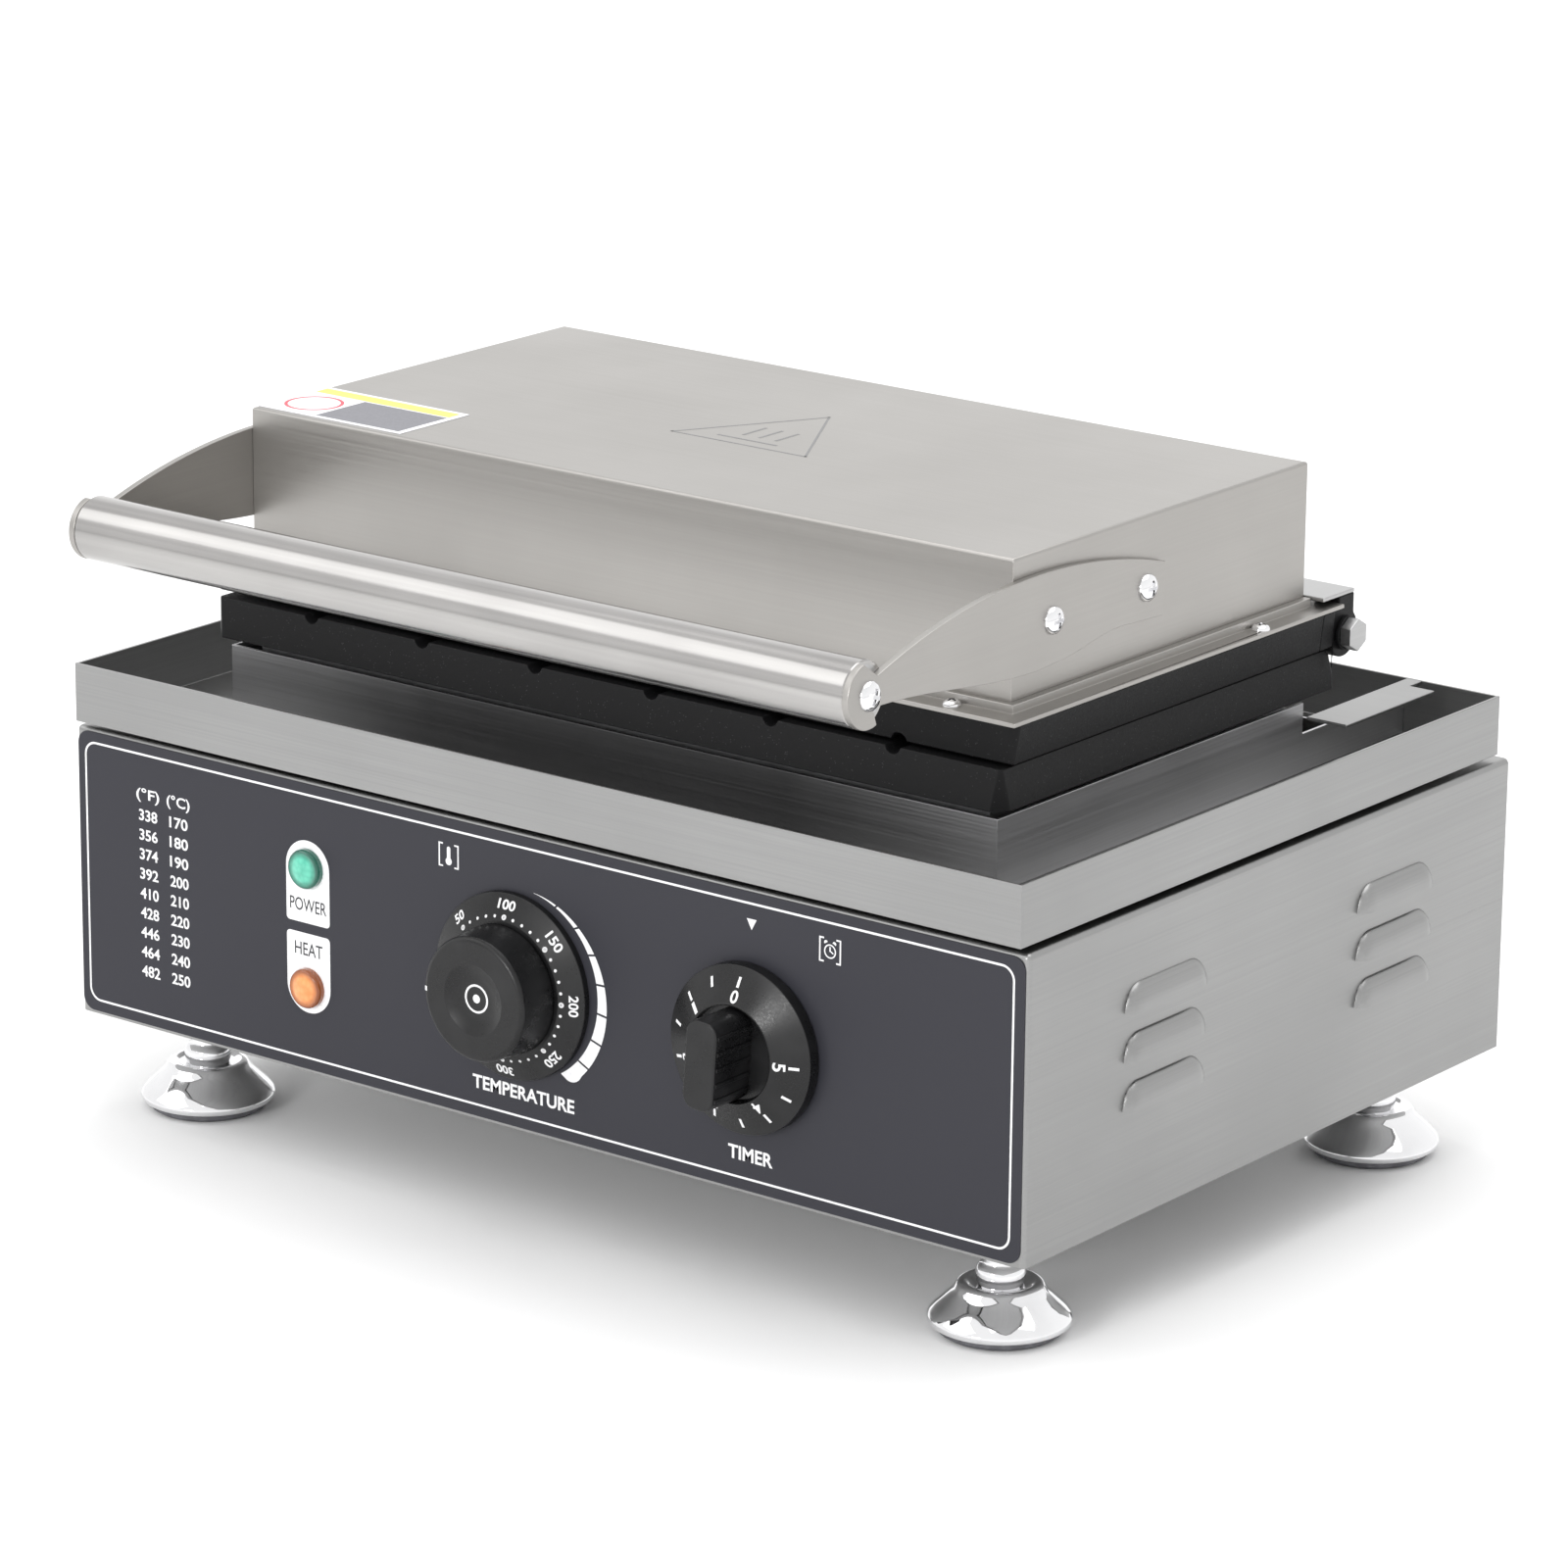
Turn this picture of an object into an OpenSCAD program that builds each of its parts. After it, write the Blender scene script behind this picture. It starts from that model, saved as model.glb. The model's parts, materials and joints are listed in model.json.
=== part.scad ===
// Countertop electric waffle maker for six waffles on sticks.
// Lengths are in millimetres, angles in degrees.
// X runs to the right along the front, Y towards the back, Z up.
// The origin is on the table, under the centre of the machine's outer box.

/* [Base] */
// Width of the base box
body_w = 410; // [400:2:430]
// Depth of the base box
body_d = 283; // [280:1:300]
// Height of the base box without its feet
body_h = 105; // [100:1:115]
// Thickness of the steel sheet
sheet = 1.2; // [1:0.1:1.5]
// Height of the feet under the base
foot_h = 37; // [35:1:45]

/* [Tray] */
// Height of the drip tray's walls
tray_h = 21; // [18:1:22]

/* [Lid] */
// Width of the lid's box
lid_w = 325; // [322:1:328]
// Depth of the lid's box
lid_d = 169; // [166:1:170]
// Height of the lid's box above its flange
lid_h = 50; // [48:1:60]
// How far the lid opens
lid_open = 95; // [80:5:100]

/* [Plates] */
// Number of waffle moulds
mould_count = 6; // [4:1:6]
// Distance from one mould to the next
mould_pitch = 50; // [46:1:52]
// Width of a mould
mould_w = 38; // [34:1:40]
// Length of a mould
mould_l = 146; // [120:2:150]
// Radius of the stick notches
notch_r = 3.1; // [2.8:0.1:3.5]

/* [Handle] */
// Diameter of the handle tube
handle_d = 22; // [18:1:24]
// How far the tube's axis stands in front of the base
handle_reach = 32; // [30:1:45]

/* [Controls] */
// Height of both knobs above the base's bottom edge
knob_z = 51.3; // [48:0.1:54]
// Place of the temperature knob, from the middle
temperature_x = -5.2; // [-20:0.1:10]
// Place of the timer knob, from the middle
timer_x = 94.5; // [80:0.1:110]
// Place of the pilot lamps, from the middle
lamp_x = -97; // [-110:1:-80]

/* [Hidden] */
$fn = 48;
eps = 0.01;
slit = 0.3;              // gap between faces of bodies that move on each other
run_fit = 0.05;          // radial clearance of a running fit
bend_r = 2;              // outer radius of a bend in the sheet

// base box
overlay_t = 0.5;
overlay_edge = 1.2;
panel_set = 0.8;         // how far the back panel sits inside the shell's rear edge
louvre_l = 45;
louvre_h = 9.3;
louvre_p = 3.6;
louvre_ys = [75.5, 211.5];
louvre_zs = [38.5, 55.2, 71.9];
foot_inset = 31;
foot_r = 24;
stem_r = 5.5;
collar_r = 8.3;
lock_nut_h = 5;
foot_ys = [foot_inset, body_d - foot_inset];
gland_x = 120;
gland_z = 32;
gland_bore = 4.5;
gland_out = 18;
gland_dome = 4.8;
gland_cap_r = 9.5;
gland_cap_z = gland_out + panel_set - gland_dome;
panel_screw_zs = [12, body_h - 12];
wire_hole_x = 150;
wire_hole_y = 236;
back_screw_xs = [-190, -64, 64, 190];

// drip tray
tray_w = body_w - 4;
tray_y0 = -2.2;
tray_d = body_d - 2;
tray_z = body_h + 2;
tray_floor = tray_z + sheet;
tray_top = tray_z + tray_h;
tray_in_y1 = tray_y0 + tray_d - sheet;

// heater housing under the lower plate
skirt_w = 330;
skirt_y0 = 37;
skirt_y1 = 232;
skirt_top = 133;
skirt_step_y = 213.7;
skirt_step_z = 122;
skirt_back_w = 280;
duct_x0 = 165.8;
duct_x1 = 182;
duct_y0 = 214.5;
duct_y1 = 270;
duct_tongue = 6;

// plates
plate_w = 336;
plate_draft = 2;
plate_y0 = 34;
plate_y1 = 222;
lower_y1 = 225;
lower_chamfer = 5;
lower_back_chamfer = 1.5;
upper_w = 341;
upper_y0 = 37.4;
upper_draft = 1.5;
upper_chamfer = 3;
lower_z0 = 136.5;
lower_z1 = 150.6;
upper_z0 = 151.8;
upper_z1 = 165;
belly_w = 314;
belly_y0 = 44;
belly_y1 = 212;
belly_h = 12.5;
mould_depth = 12;
mould_r = 9;
mould_y0 = 50;
rib_w = 3;
rib_h = 5;
ribs_across = 8;

// hinge
hinge_y = 229;
hinge_z = 155.5;
lug_r = 8.5;
lower_lug_x0 = 148;
lower_lug_x1 = 158.5;
upper_lug_x0 = 160;
upper_lug_x1 = 170.3;
ear_y0 = 214;
bolt_r = 3;
nut_af = 10;
strip_z = 168.5;
strip_y0 = 216;
strip_y1 = 235;

// lid
flange_w = 345;
flange_y0 = 35;
flange_y1 = 225.6;
flange_t = 1.5;
lid_z0 = upper_z1 + flange_t;
lid_y0 = 46.5;
lid_top = lid_z0 + lid_h;
bead_h = 3;
bead_w = 3;
flange_screw_x = 144;
flange_screw_y = 180;
flange_screw_r = 1.6;
flange_screw_in_x = 3.6;
flange_screw_in_y = 4.9;
flange_head_r = 3.2;

// heaters
heater_r = 3.5;
heater_legs = 6;
heater_pitch = 40;
heater_y0 = 82;
heater_y1 = 176;
clamp_t = 2;
insulation_t = 18;

// handle
tube_r = handle_d / 2;
tube_wall = 1.5;
arm_t = 2.5;
handle_z = 189;
arm_eye_y = -handle_reach;
arm_arc_r = 258;
arm_arc_y = 58.4;
arm_arc_z = -48.5;
arm_end_y = 127.5;
arm_screw_ys = [65.4, 118];
arm_screw_z = 193;
arm_screw_r = 2.5;

// flexible conduit from the base to the lid
conduit_x = -100;
conduit_y = 256;
conduit_bend = 30;
conduit_r = 5;
conduit_z = 195;
fitting_l = 13;

// controls
bezel_r = 32.5;
bezel_h = 6;
bezel_side = 2.6;
knob_r = 22.5;
knob_face_r = 21.4;
knob_h = 15;
knob_y = -(overlay_t + bezel_h + slit);
skirt_dial_r = 28.8;
skirt_dial_side = 4.8;
skirt_dial_h = 10.6;
well_r = 16.4;
well_floor_h = 7.4;
grip_w = 13.4;
grip_l = 31;
grip_h = 18.6;
grip_corner = 5;
shaft_r = 3;
lamp_r = 7;
lamp_zs = [73.8, 31];
label_w = 65;
label_d = 36.5;
label_in_x = 0.3;
label_in_y = 2.8;

// outer box, which the origin is centred on
front_y = arm_eye_y - tube_r;
rear_y = body_d + gland_out;
mid_y = (front_y + rear_y) / 2;

// ---------- helpers ----------

// Moves a part from the base's own corner heights into the machine's frame.
module place() {
  translate([0, -mid_y, foot_h]) children();
}

// A cube given by its low and high corners.
module block(low, high) {
  translate(low) cube(high - low);
}

// The same child on the left and on the right.
module both_sides() {
  children();
  mirror([1, 0, 0]) children();
}

// Stands a flat outline up so that its y becomes height and it grows forwards.
module standing(y, thickness) {
  translate([0, y, 0]) rotate([90, 0, 0]) linear_extrude(thickness) children();
}

// Stands an outline of (y, z) points up across the machine, from x0 to x1.
module across(x0, x1) {
  translate([x0, 0, 0]) rotate([90, 0, 90]) linear_extrude(x1 - x0) children();
}

// A cylinder along Y, from y0 to y1.
module rod_y(x, z, r, y0, y1) {
  translate([x, y0, z]) rotate([-90, 0, 0]) cylinder(r = r, h = y1 - y0);
}

// A cylinder along X, from x0 to x1.
module rod_x(y, z, r, x0, x1) {
  translate([x0, y, z]) rotate([0, 90, 0]) cylinder(r = r, h = x1 - x0);
}

// A rectangle with round corners, centred on x and starting at y0.
module round_rect(w, y0, y1, r) {
  translate([-w / 2 + r, y0]) square([w - 2 * r, y1 - y0]);
  translate([-w / 2, y0 + r]) square([w, y1 - y0 - 2 * r]);
  for (x = [-w / 2 + r, w / 2 - r])
    for (y = [y0 + r, y1 - r])
      translate([x, y]) circle(r);
}

// A rectangle with cut corners, centred on x; the back corners may have their own cut.
module cut_rect(w, y0, y1, c, back_c) {
  h = w / 2;
  polygon([
    [-h + c, y0], [h - c, y0], [h, y0 + c], [h, y1 - back_c],
    [h - back_c, y1], [-h + back_c, y1], [-h, y1 - back_c], [-h, y0 + c]
  ]);
}

// Points on an arc.
function arc(cx, cy, r, a0, a1, n) =
  [for (i = [0:n]) let (a = a0 + (a1 - a0) * i / n) [cx + r * cos(a), cy + r * sin(a)]];

// Points on a soft step from one height to another.
function soft_step(x0, y0, x1, y1, n) =
  [for (i = [0:n]) let (t = i / n)
    [x0 + (x1 - x0) * t, y0 + (y1 - y0) * (1 - cos(180 * t)) / 2]];

// A dome-head screw along -Z, its head resting on z = 0.
module dome_screw(head_r, head_h, shank_r, shank_l) {
  slot = head_r * 0.28;
  difference() {
    rotate_extrude() {
      polygon(concat(
        [[0, -shank_l], [shank_r, -shank_l], [shank_r, 0]],
        arc(0, 0, head_r, 0, 20, 2),
        [for (a = [30:12:90]) [head_r * cos(a), head_h * sin(a)]]
      ));
    }
    for (turn = [0, 90])
      rotate([0, 0, turn])
        block([-head_r * 0.55, -slot / 2, head_h * 0.5], [head_r * 0.55, slot / 2, head_h + 1]);
  }
}

// A hexagon prism along X around (y, z).
module hex_x(y, z, af, x0, x1) {
  translate([x0, y, z]) rotate([0, 90, 0])
    cylinder(r = af / sqrt(3), h = x1 - x0, $fn = 6);
}

// ---------- base ----------

// A pressed louvre that grows out of the plane x = 0 and is open below.
module louvre_form(length, height, reach) {
  intersection() {
    rotate([90, 0, 0]) translate([0, 0, -length / 2]) linear_extrude(length)
      polygon(concat([[0, 0]], [for (a = [0:15:90]) [reach * cos(a), height * sin(a)]]));
    rotate([90, 0, 90]) translate([0, 0, -1]) linear_extrude(reach + 2)
      difference() {
        round_rect(length, -height, height, height * 0.7);
        translate([-length, -2 * height]) square([2 * length, 2 * height]);
      }
  }
}

module louvres_at_right() {
  for (y = louvre_ys)
    for (z = louvre_zs)
      translate([body_w / 2, y, z]) children();
}

module base_shell() {
  place() color("silver") difference() {
    union() {
      difference() {
        linear_extrude(body_h) round_rect(body_w, 0, body_d + bend_r, bend_r);
        block([-body_w, body_d, -1], [body_w, body_d + 10, body_h + 1]);
        block([-body_w / 2 + sheet, sheet, -1], [body_w / 2 - sheet, body_d + 1, body_h - sheet]);
      }
      both_sides() louvres_at_right() louvre_form(louvre_l, louvre_h, louvre_p);
    }
    both_sides() louvres_at_right()
      translate([-2 * sheet, 0, -eps])
        louvre_form(louvre_l - 2 * sheet, louvre_h - sheet, louvre_p + sheet);
    for (z = lamp_zs)
      rod_y(lamp_x, z, 6, -1, sheet + 1);
    for (x = [temperature_x, timer_x])
      rod_y(x, knob_z, 5.5, -1, sheet + 1);
    translate([wire_hole_x, wire_hole_y, body_h - 5]) cylinder(r = 9, h = 10);
    translate([conduit_x, conduit_y, body_h - 5]) cylinder(r = 7, h = 10);
    both_sides() for (y = [80, 190])
      translate([138, y, body_h - 5]) cylinder(r = 3, h = 10);
  }
}

module back_panel() {
  place() color("silver") difference() {
    block([-body_w / 2 + sheet + slit, body_d - sheet - panel_set, sheet + slit],
      [body_w / 2 - sheet - slit, body_d - panel_set, body_h - sheet - slit]);
    rod_y(gland_x, gland_z, 8, body_d - 5, body_d + 1);
    for (i = [0:9])
      block([-62 + 9 * i, body_d - 5, 40], [-58 + 9 * i, body_d + 1, 74]);
    for (x = back_screw_xs)
      for (z = panel_screw_zs)
        rod_y(x, z, 1.6, body_d - 5, body_d + 1);
  }
}

module bottom_plate() {
  place() color("darkgray") difference() {
    block([-body_w / 2 + sheet + slit, sheet + slit, 0],
      [body_w / 2 - sheet - slit, body_d - 2 * sheet - 2 * panel_set, sheet]);
    both_sides() for (y = foot_ys)
      translate([body_w / 2 - foot_inset, y, -1]) cylinder(r = stem_r + run_fit, h = 4);
    for (x = [-90:30:90])
      block([x - 2, 110, -1], [x + 2, 170, 4]);
  }
}

module control_overlay() {
  place() color("darkslategray") difference() {
    standing(0, overlay_t)
      round_rect(body_w - 2 * overlay_edge, overlay_edge, body_h - overlay_edge, 5);
    for (z = lamp_zs)
      rod_y(lamp_x, z, 6, -2, 1);
    for (x = [temperature_x, timer_x])
      rod_y(x, knob_z, 5.5, -2, 1);
  }
}

module drip_tray() {
  place() color("silver") difference() {
    block([-tray_w / 2, tray_y0, tray_z], [tray_w / 2, tray_y0 + tray_d, tray_top]);
    block([-tray_w / 2 + sheet, tray_y0 + sheet, tray_floor],
      [tray_w / 2 - sheet, tray_in_y1, tray_top + 1]);
    translate([wire_hole_x, wire_hole_y - 15, tray_z - 1]) cylinder(r = 9, h = 5);
    translate([conduit_x, conduit_y, tray_z - 1]) cylinder(r = 7, h = 5);
    both_sides() for (y = [80, 190])
      translate([138, y, tray_z - 1]) cylinder(r = 5, h = 5);
  }
}

module heater_skirt() {
  w = skirt_w / 2;
  place() color("gray") difference() {
    block([-w, skirt_y0, tray_floor], [w, skirt_y1, skirt_top]);
    block([-w + sheet, skirt_y0 + sheet, tray_floor - 1],
      [w - sheet, skirt_y1 - sheet, skirt_top + 1]);
    both_sides() block([skirt_back_w / 2, skirt_step_y, skirt_step_z],
      [w + 1, skirt_y1 + 1, skirt_top + 1]);
  }
  place() color("gray") both_sides()
    block([w - sheet, skirt_y1 - sheet, tray_floor], [w, tray_in_y1, skirt_step_z]);
}

// A flat strip over the back of the skirt's side wall, held by a tongue at the tray's back wall.
module duct_cover() {
  place() color("lightgray") {
    block([duct_x0, duct_y0, tray_top - sheet], [duct_x1, duct_y1, tray_top]);
    block([duct_x0, duct_y1 - eps, tray_top - sheet], [duct_x0 + duct_tongue, tray_in_y1, tray_top]);
  }
}

module plate_pillars() {
  place() color("darkgray") both_sides() for (y = [80, 190]) {
    translate([138, y, body_h]) cylinder(r = 5, h = lower_z0 - belly_h - body_h);
    translate([138, y, body_h - 8]) cylinder(r = 3, h = 9);
  }
}

// ---------- plates ----------

// A cast slab with drafted sides and cut corners: front and back are its edges at z0.
module slab(z0, z1, w0, w1, front, back, chamfer, back_chamfer) {
  grow = (w1 - w0) / 2;
  wide = max(w0, w1);
  low_y = front - max(grow, 0);
  high_y = back + max(grow, 0);
  intersection() {
    standing(high_y, high_y - low_y)
      polygon([[-w0 / 2, z0], [w0 / 2, z0], [w1 / 2, z1], [-w1 / 2, z1]]);
    across(-wide, wide)
      polygon([[front, z0], [back, z0], [back + grow, z1], [front - grow, z1]]);
    translate([0, 0, z0]) linear_extrude(z1 - z0)
      cut_rect(wide, low_y, high_y, chamfer, back_chamfer);
  }
}

function mould_x(i) = (i - (mould_count - 1) / 2) * mould_pitch;

// One mould with its ribs left standing: face is the parting face, dir points into the plate.
module mould(face, dir) {
  low = dir > 0 ? face - 1 : face - mould_depth;
  high = dir > 0 ? face + mould_depth : face + 1;
  floor_z = face + dir * mould_depth;
  rib_low = min(floor_z, floor_z - dir * rib_h) - (dir < 0 ? 1 : 0);
  rib_high = max(floor_z, floor_z - dir * rib_h) + (dir > 0 ? 1 : 0);
  difference() {
    translate([0, 0, low]) linear_extrude(high - low)
      round_rect(mould_w, mould_y0, mould_y0 + mould_l, mould_r);
    for (x = [-mould_w / 6, mould_w / 6])
      block([x - rib_w / 2, mould_y0 - 1, rib_low], [x + rib_w / 2, mould_y0 + mould_l + 1, rib_high]);
    for (i = [1:ribs_across])
      translate([0, mould_y0 + mould_l * i / (ribs_across + 1), 0])
        block([-mould_w / 2 - 1, -rib_w / 2, rib_low], [mould_w / 2 + 1, rib_w / 2, rib_high]);
  }
}

module moulds(face, dir) {
  seam_z = (lower_z1 + upper_z0) / 2;
  for (i = [0:mould_count - 1])
    translate([mould_x(i), 0, 0]) {
      mould(face, dir);
      rod_y(0, seam_z, notch_r, plate_y0 - 10, mould_y0 + 5);
    }
}

// Round ear of a hinge with its web back to the plate.
module lug(x0, x1, web_z0, web_z1) {
  rod_x(hinge_y, hinge_z, lug_r, x0, x1);
  block([x0, ear_y0, web_z0], [x1, hinge_y, web_z1]);
}

module lower_plate() {
  place() color("#2b2b2d") difference() {
    slab(lower_z0, lower_z1, plate_w + 2 * plate_draft, plate_w, plate_y0 - plate_draft,
      lower_y1, lower_chamfer, lower_back_chamfer);
    moulds(lower_z1, -1);
    both_sides() rod_x(hinge_y, hinge_z, lug_r + 0.4, upper_lug_x0 - 1, plate_w);
  }
  place() color("#2b2b2d") both_sides() difference() {
    lug(lower_lug_x0, lower_lug_x1, lower_z0 + 2, lower_z1);
    rod_x(hinge_y, hinge_z, bolt_r, lower_lug_x0 - 1, lower_lug_x1 + 1);
  }
}

module upper_slab() {
  slab(upper_z0, upper_z1, upper_w, upper_w + upper_draft * 2, upper_y0,
    plate_y1, upper_chamfer, upper_chamfer);
}

// The room of a hinge ear at the upper plate's back corner.
module upper_corner() {
  block([upper_lug_x0, ear_y0, upper_z0 - 1], [plate_w, plate_y1 + 9, upper_z1 + 1]);
}

module upper_plate() {
  place() color("#2b2b2d") difference() {
    upper_slab();
    flange_screw_holes();
    moulds(upper_z0, 1);
    both_sides() block([lower_lug_x0 - 1, ear_y0 - 1, upper_z0 - 1],
      [lower_lug_x1 + 1, plate_y1 + 9, upper_z1 + 1]);
    both_sides() upper_corner();
  }
}

// The ears that the lid turns on, each filling a back corner of the upper plate.
module upper_hinge_ears() {
  place() color("#2b2b2d") both_sides() difference() {
    union() {
      intersection() {
        upper_slab();
        upper_corner();
      }
      lug(upper_lug_x0, upper_lug_x1, upper_z0, upper_z1);
      block([upper_lug_x0, flange_y1 + 0.2, hinge_z], [upper_lug_x1, strip_y1, strip_z]);
    }
    rod_x(hinge_y, hinge_z, bolt_r + run_fit, upper_lug_x0 - 1, upper_lug_x1 + 1);
  }
}

// ---------- heaters ----------

// Cast beds bolted to the plates' backs, which the rod heaters lie on.
module lower_heater_bed() {
  place() color("#3a3a3c")
    block([-belly_w / 2, belly_y0, lower_z0 - belly_h], [belly_w / 2, belly_y1, lower_z0]);
}

module upper_heater_bed() {
  place() color("#3a3a3c")
    block([-belly_w / 2, belly_y0 + 4, upper_z1], [belly_w / 2, belly_y1, upper_z1 + belly_h]);
}

// A rod heater that runs to and fro along Y, with round bends at its ends.
module heater_flat(z) {
  for (i = [0:heater_legs - 1])
    rod_y(heater_x(i), z, heater_r, heater_y0, heater_y1);
  for (i = [0:heater_legs - 2]) {
    front = i % 2 == 0;
    translate([heater_x(i) + heater_pitch / 2, front ? heater_y0 : heater_y1, z])
      rotate([0, 0, front ? 180 : 0])
        rotate_extrude(angle = 180) translate([heater_pitch / 2, 0]) circle(heater_r);
  }
}

function heater_x(i) = (i - (heater_legs - 1) / 2) * heater_pitch;

module lower_heater() {
  place() color("darkolivegreen") heater_flat(lower_z0 - belly_h - heater_r);
}

module upper_heater() {
  place() color("darkolivegreen") heater_flat(upper_z1 + belly_h + heater_r);
}

module heater_clamp_at(z) {
  difference() {
    block([-112, heater_y0 - 6, z], [112, heater_y1 + 6, z + clamp_t]);
    for (x = [-80, 0, 80])
      translate([x, 128, z - 1]) cylinder(r = 3, h = clamp_t + 2);
  }
}

module lower_heater_clamp() {
  place() color("gray") heater_clamp_at(lower_z0 - belly_h - 2 * heater_r - clamp_t);
}

module upper_heater_clamp() {
  place() color("gray") heater_clamp_at(upper_z1 + belly_h + 2 * heater_r);
}

module lower_insulation() {
  top = lower_z0 - belly_h - 2 * heater_r - clamp_t;
  place() color("beige") block([-122, 60, tray_floor + 0.2], [122, 200, top]);
}

module upper_insulation() {
  low = upper_z1 + belly_h + 2 * heater_r + clamp_t;
  place() color("beige") block([-140, 60, low], [140, 200, low + insulation_t]);
}

// ---------- lid ----------

module lid_flange() {
  y1 = lid_y0 + lid_d;
  place() color("silver") difference() {
    union() {
      block([-flange_w / 2, flange_y0, upper_z1], [flange_w / 2, flange_y1, lid_z0]);
      block([-lid_w / 2 - bead_w, lid_y0 - bead_w, lid_z0 - eps],
        [lid_w / 2 + bead_w, y1, lid_z0 + bead_h]);
    }
    flange_screw_holes();
    block([-lid_w / 2 + sheet, lid_y0 + sheet, upper_z1 - 1],
      [lid_w / 2 - sheet, y1 - sheet, lid_z0 + bead_h + 1]);
    block([-lid_w / 2, lid_y0, lid_z0], [lid_w / 2, y1 + 1, lid_z0 + bead_h + 1]);
  }
}

module lid_box() {
  y1 = lid_y0 + lid_d;
  place() color("gainsboro") difference() {
    block([-lid_w / 2, lid_y0, lid_z0], [lid_w / 2, y1, lid_top]);
    block([-lid_w / 2 + sheet, lid_y0 + sheet, lid_z0 - 1],
      [lid_w / 2 - sheet, y1 - sheet, lid_top - sheet]);
    rod_y(conduit_x, conduit_z, 6, y1 - 3, y1 + 1);
    both_sides() for (y = arm_screw_ys)
      rod_x(y, arm_screw_z, arm_screw_r + run_fit, lid_w / 2 - 3, lid_w / 2 + 1);
  }
}

module lid_label() {
  place() color("lightyellow")
    block([-lid_w / 2 + label_in_x, lid_y0 + label_in_y, lid_top],
      [-lid_w / 2 + label_in_x + label_w, lid_y0 + label_in_y + label_d, lid_top + 0.2]);
}

module hinge_strip() {
  place() color("lightgray")
    block([-upper_lug_x1, strip_y0, strip_z], [upper_lug_x1, strip_y1, strip_z + flange_t]);
}

module handle_tube() {
  place() color("silver") difference() {
    rod_x(arm_eye_y, handle_z, tube_r, -lid_w / 2, lid_w / 2);
    rod_x(arm_eye_y, handle_z, tube_r - tube_wall, -lid_w / 2 - 1, lid_w / 2 + 1);
  }
}

module handle_end_plugs() {
  place() color("darkgray") both_sides() difference() {
    rod_x(arm_eye_y, handle_z, tube_r - tube_wall, lid_w / 2 - 14, lid_w / 2);
    rod_x(arm_eye_y, handle_z, 2.5, lid_w / 2 - 15, lid_w / 2 + 1);
  }
}

// Side outline of a handle arm, in (y, z).
module arm_outline() {
  upper = arc(arm_arc_y, arm_arc_z, arm_arc_r, 74.2, 109.5, 14);
  lower = concat(
    soft_step(arm_eye_y + 2, handle_z - 4.4, 58, 177.7, 8),
    soft_step(66, 178.3, 104, 182.8, 6)
  );
  difference() {
    union() {
      polygon(concat(lower, [[arm_end_y, 181.6]], upper));
      translate([arm_eye_y, handle_z]) circle(tube_r);
    }
    translate([arm_eye_y, handle_z]) circle(2.5);
    for (y = arm_screw_ys)
      translate([y, arm_screw_z]) circle(arm_screw_r + run_fit);
  }
}

module handle_arm_right() {
  place() color("silver") across(lid_w / 2, lid_w / 2 + arm_t) arm_outline();
}

module handle_arm_left() {
  place() color("silver") mirror([1, 0, 0]) across(lid_w / 2, lid_w / 2 + arm_t) arm_outline();
}

module handle_screws() {
  place() color("gainsboro") both_sides()
    translate([lid_w / 2 + arm_t, arm_eye_y, handle_z]) rotate([0, 90, 0])
      dome_screw(5, 2.6, 2.5, 14);
}

module arm_screws() {
  place() color("gainsboro") both_sides() for (y = arm_screw_ys)
    translate([lid_w / 2 + arm_t, y, arm_screw_z]) rotate([0, 90, 0])
      dome_screw(4.8, 2.8, arm_screw_r, 8);
}

// The four places of the screws that hold the flange to the upper plate.
module at_flange_screws() {
  both_sides() {
    translate([flange_screw_x, flange_y0 + flange_screw_in_y, lid_z0]) children();
    translate([flange_w / 2 - flange_screw_in_x, flange_screw_y, lid_z0]) children();
  }
}

module flange_screw_holes() {
  at_flange_screws() translate([0, 0, -9]) cylinder(r = flange_screw_r + run_fit, h = 10);
}

module flange_screws() {
  place() color("gainsboro") at_flange_screws() dome_screw(flange_head_r, 2.2, flange_screw_r, 8);
}

// ---------- hinge hardware ----------

module hinge_bolts() {
  out = upper_lug_x1 + 2 * slit + 1.2;
  place() color("silver") both_sides() {
    rod_x(hinge_y, hinge_z, bolt_r, lower_lug_x0 - 9, out);
    hex_x(hinge_y, hinge_z, nut_af, out, out + 4.2);
  }
}

module hinge_washers() {
  place() color("#2b2b2d") both_sides() difference() {
    rod_x(hinge_y, hinge_z, 6, upper_lug_x1 + 2 * slit, upper_lug_x1 + 2 * slit + 1.2);
    rod_x(hinge_y, hinge_z, bolt_r, upper_lug_x1, upper_lug_x1 + 3);
  }
}

module hinge_nuts() {
  place() color("silver") both_sides() difference() {
    hex_x(hinge_y, hinge_z, nut_af, lower_lug_x0 - 6, lower_lug_x0);
    rod_x(hinge_y, hinge_z, bolt_r, lower_lug_x0 - 10, lower_lug_x0 + 1);
  }
}

// ---------- conduit ----------

module conduit_fitting(length) {
  difference() {
    union() {
      cylinder(r = 8, h = 4, $fn = 6);
      cylinder(r = 6.8, h = length);
    }
    translate([0, 0, -1]) cylinder(r = conduit_r, h = length + 2);
  }
}

module base_conduit_fitting() {
  place() color("silver") translate([conduit_x, conduit_y, tray_floor]) conduit_fitting(fitting_l);
}

module lid_conduit_fitting() {
  place() color("silver") translate([conduit_x, lid_y0 + lid_d, conduit_z])
    rotate([-90, 0, 0]) conduit_fitting(fitting_l - 3);
}

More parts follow.
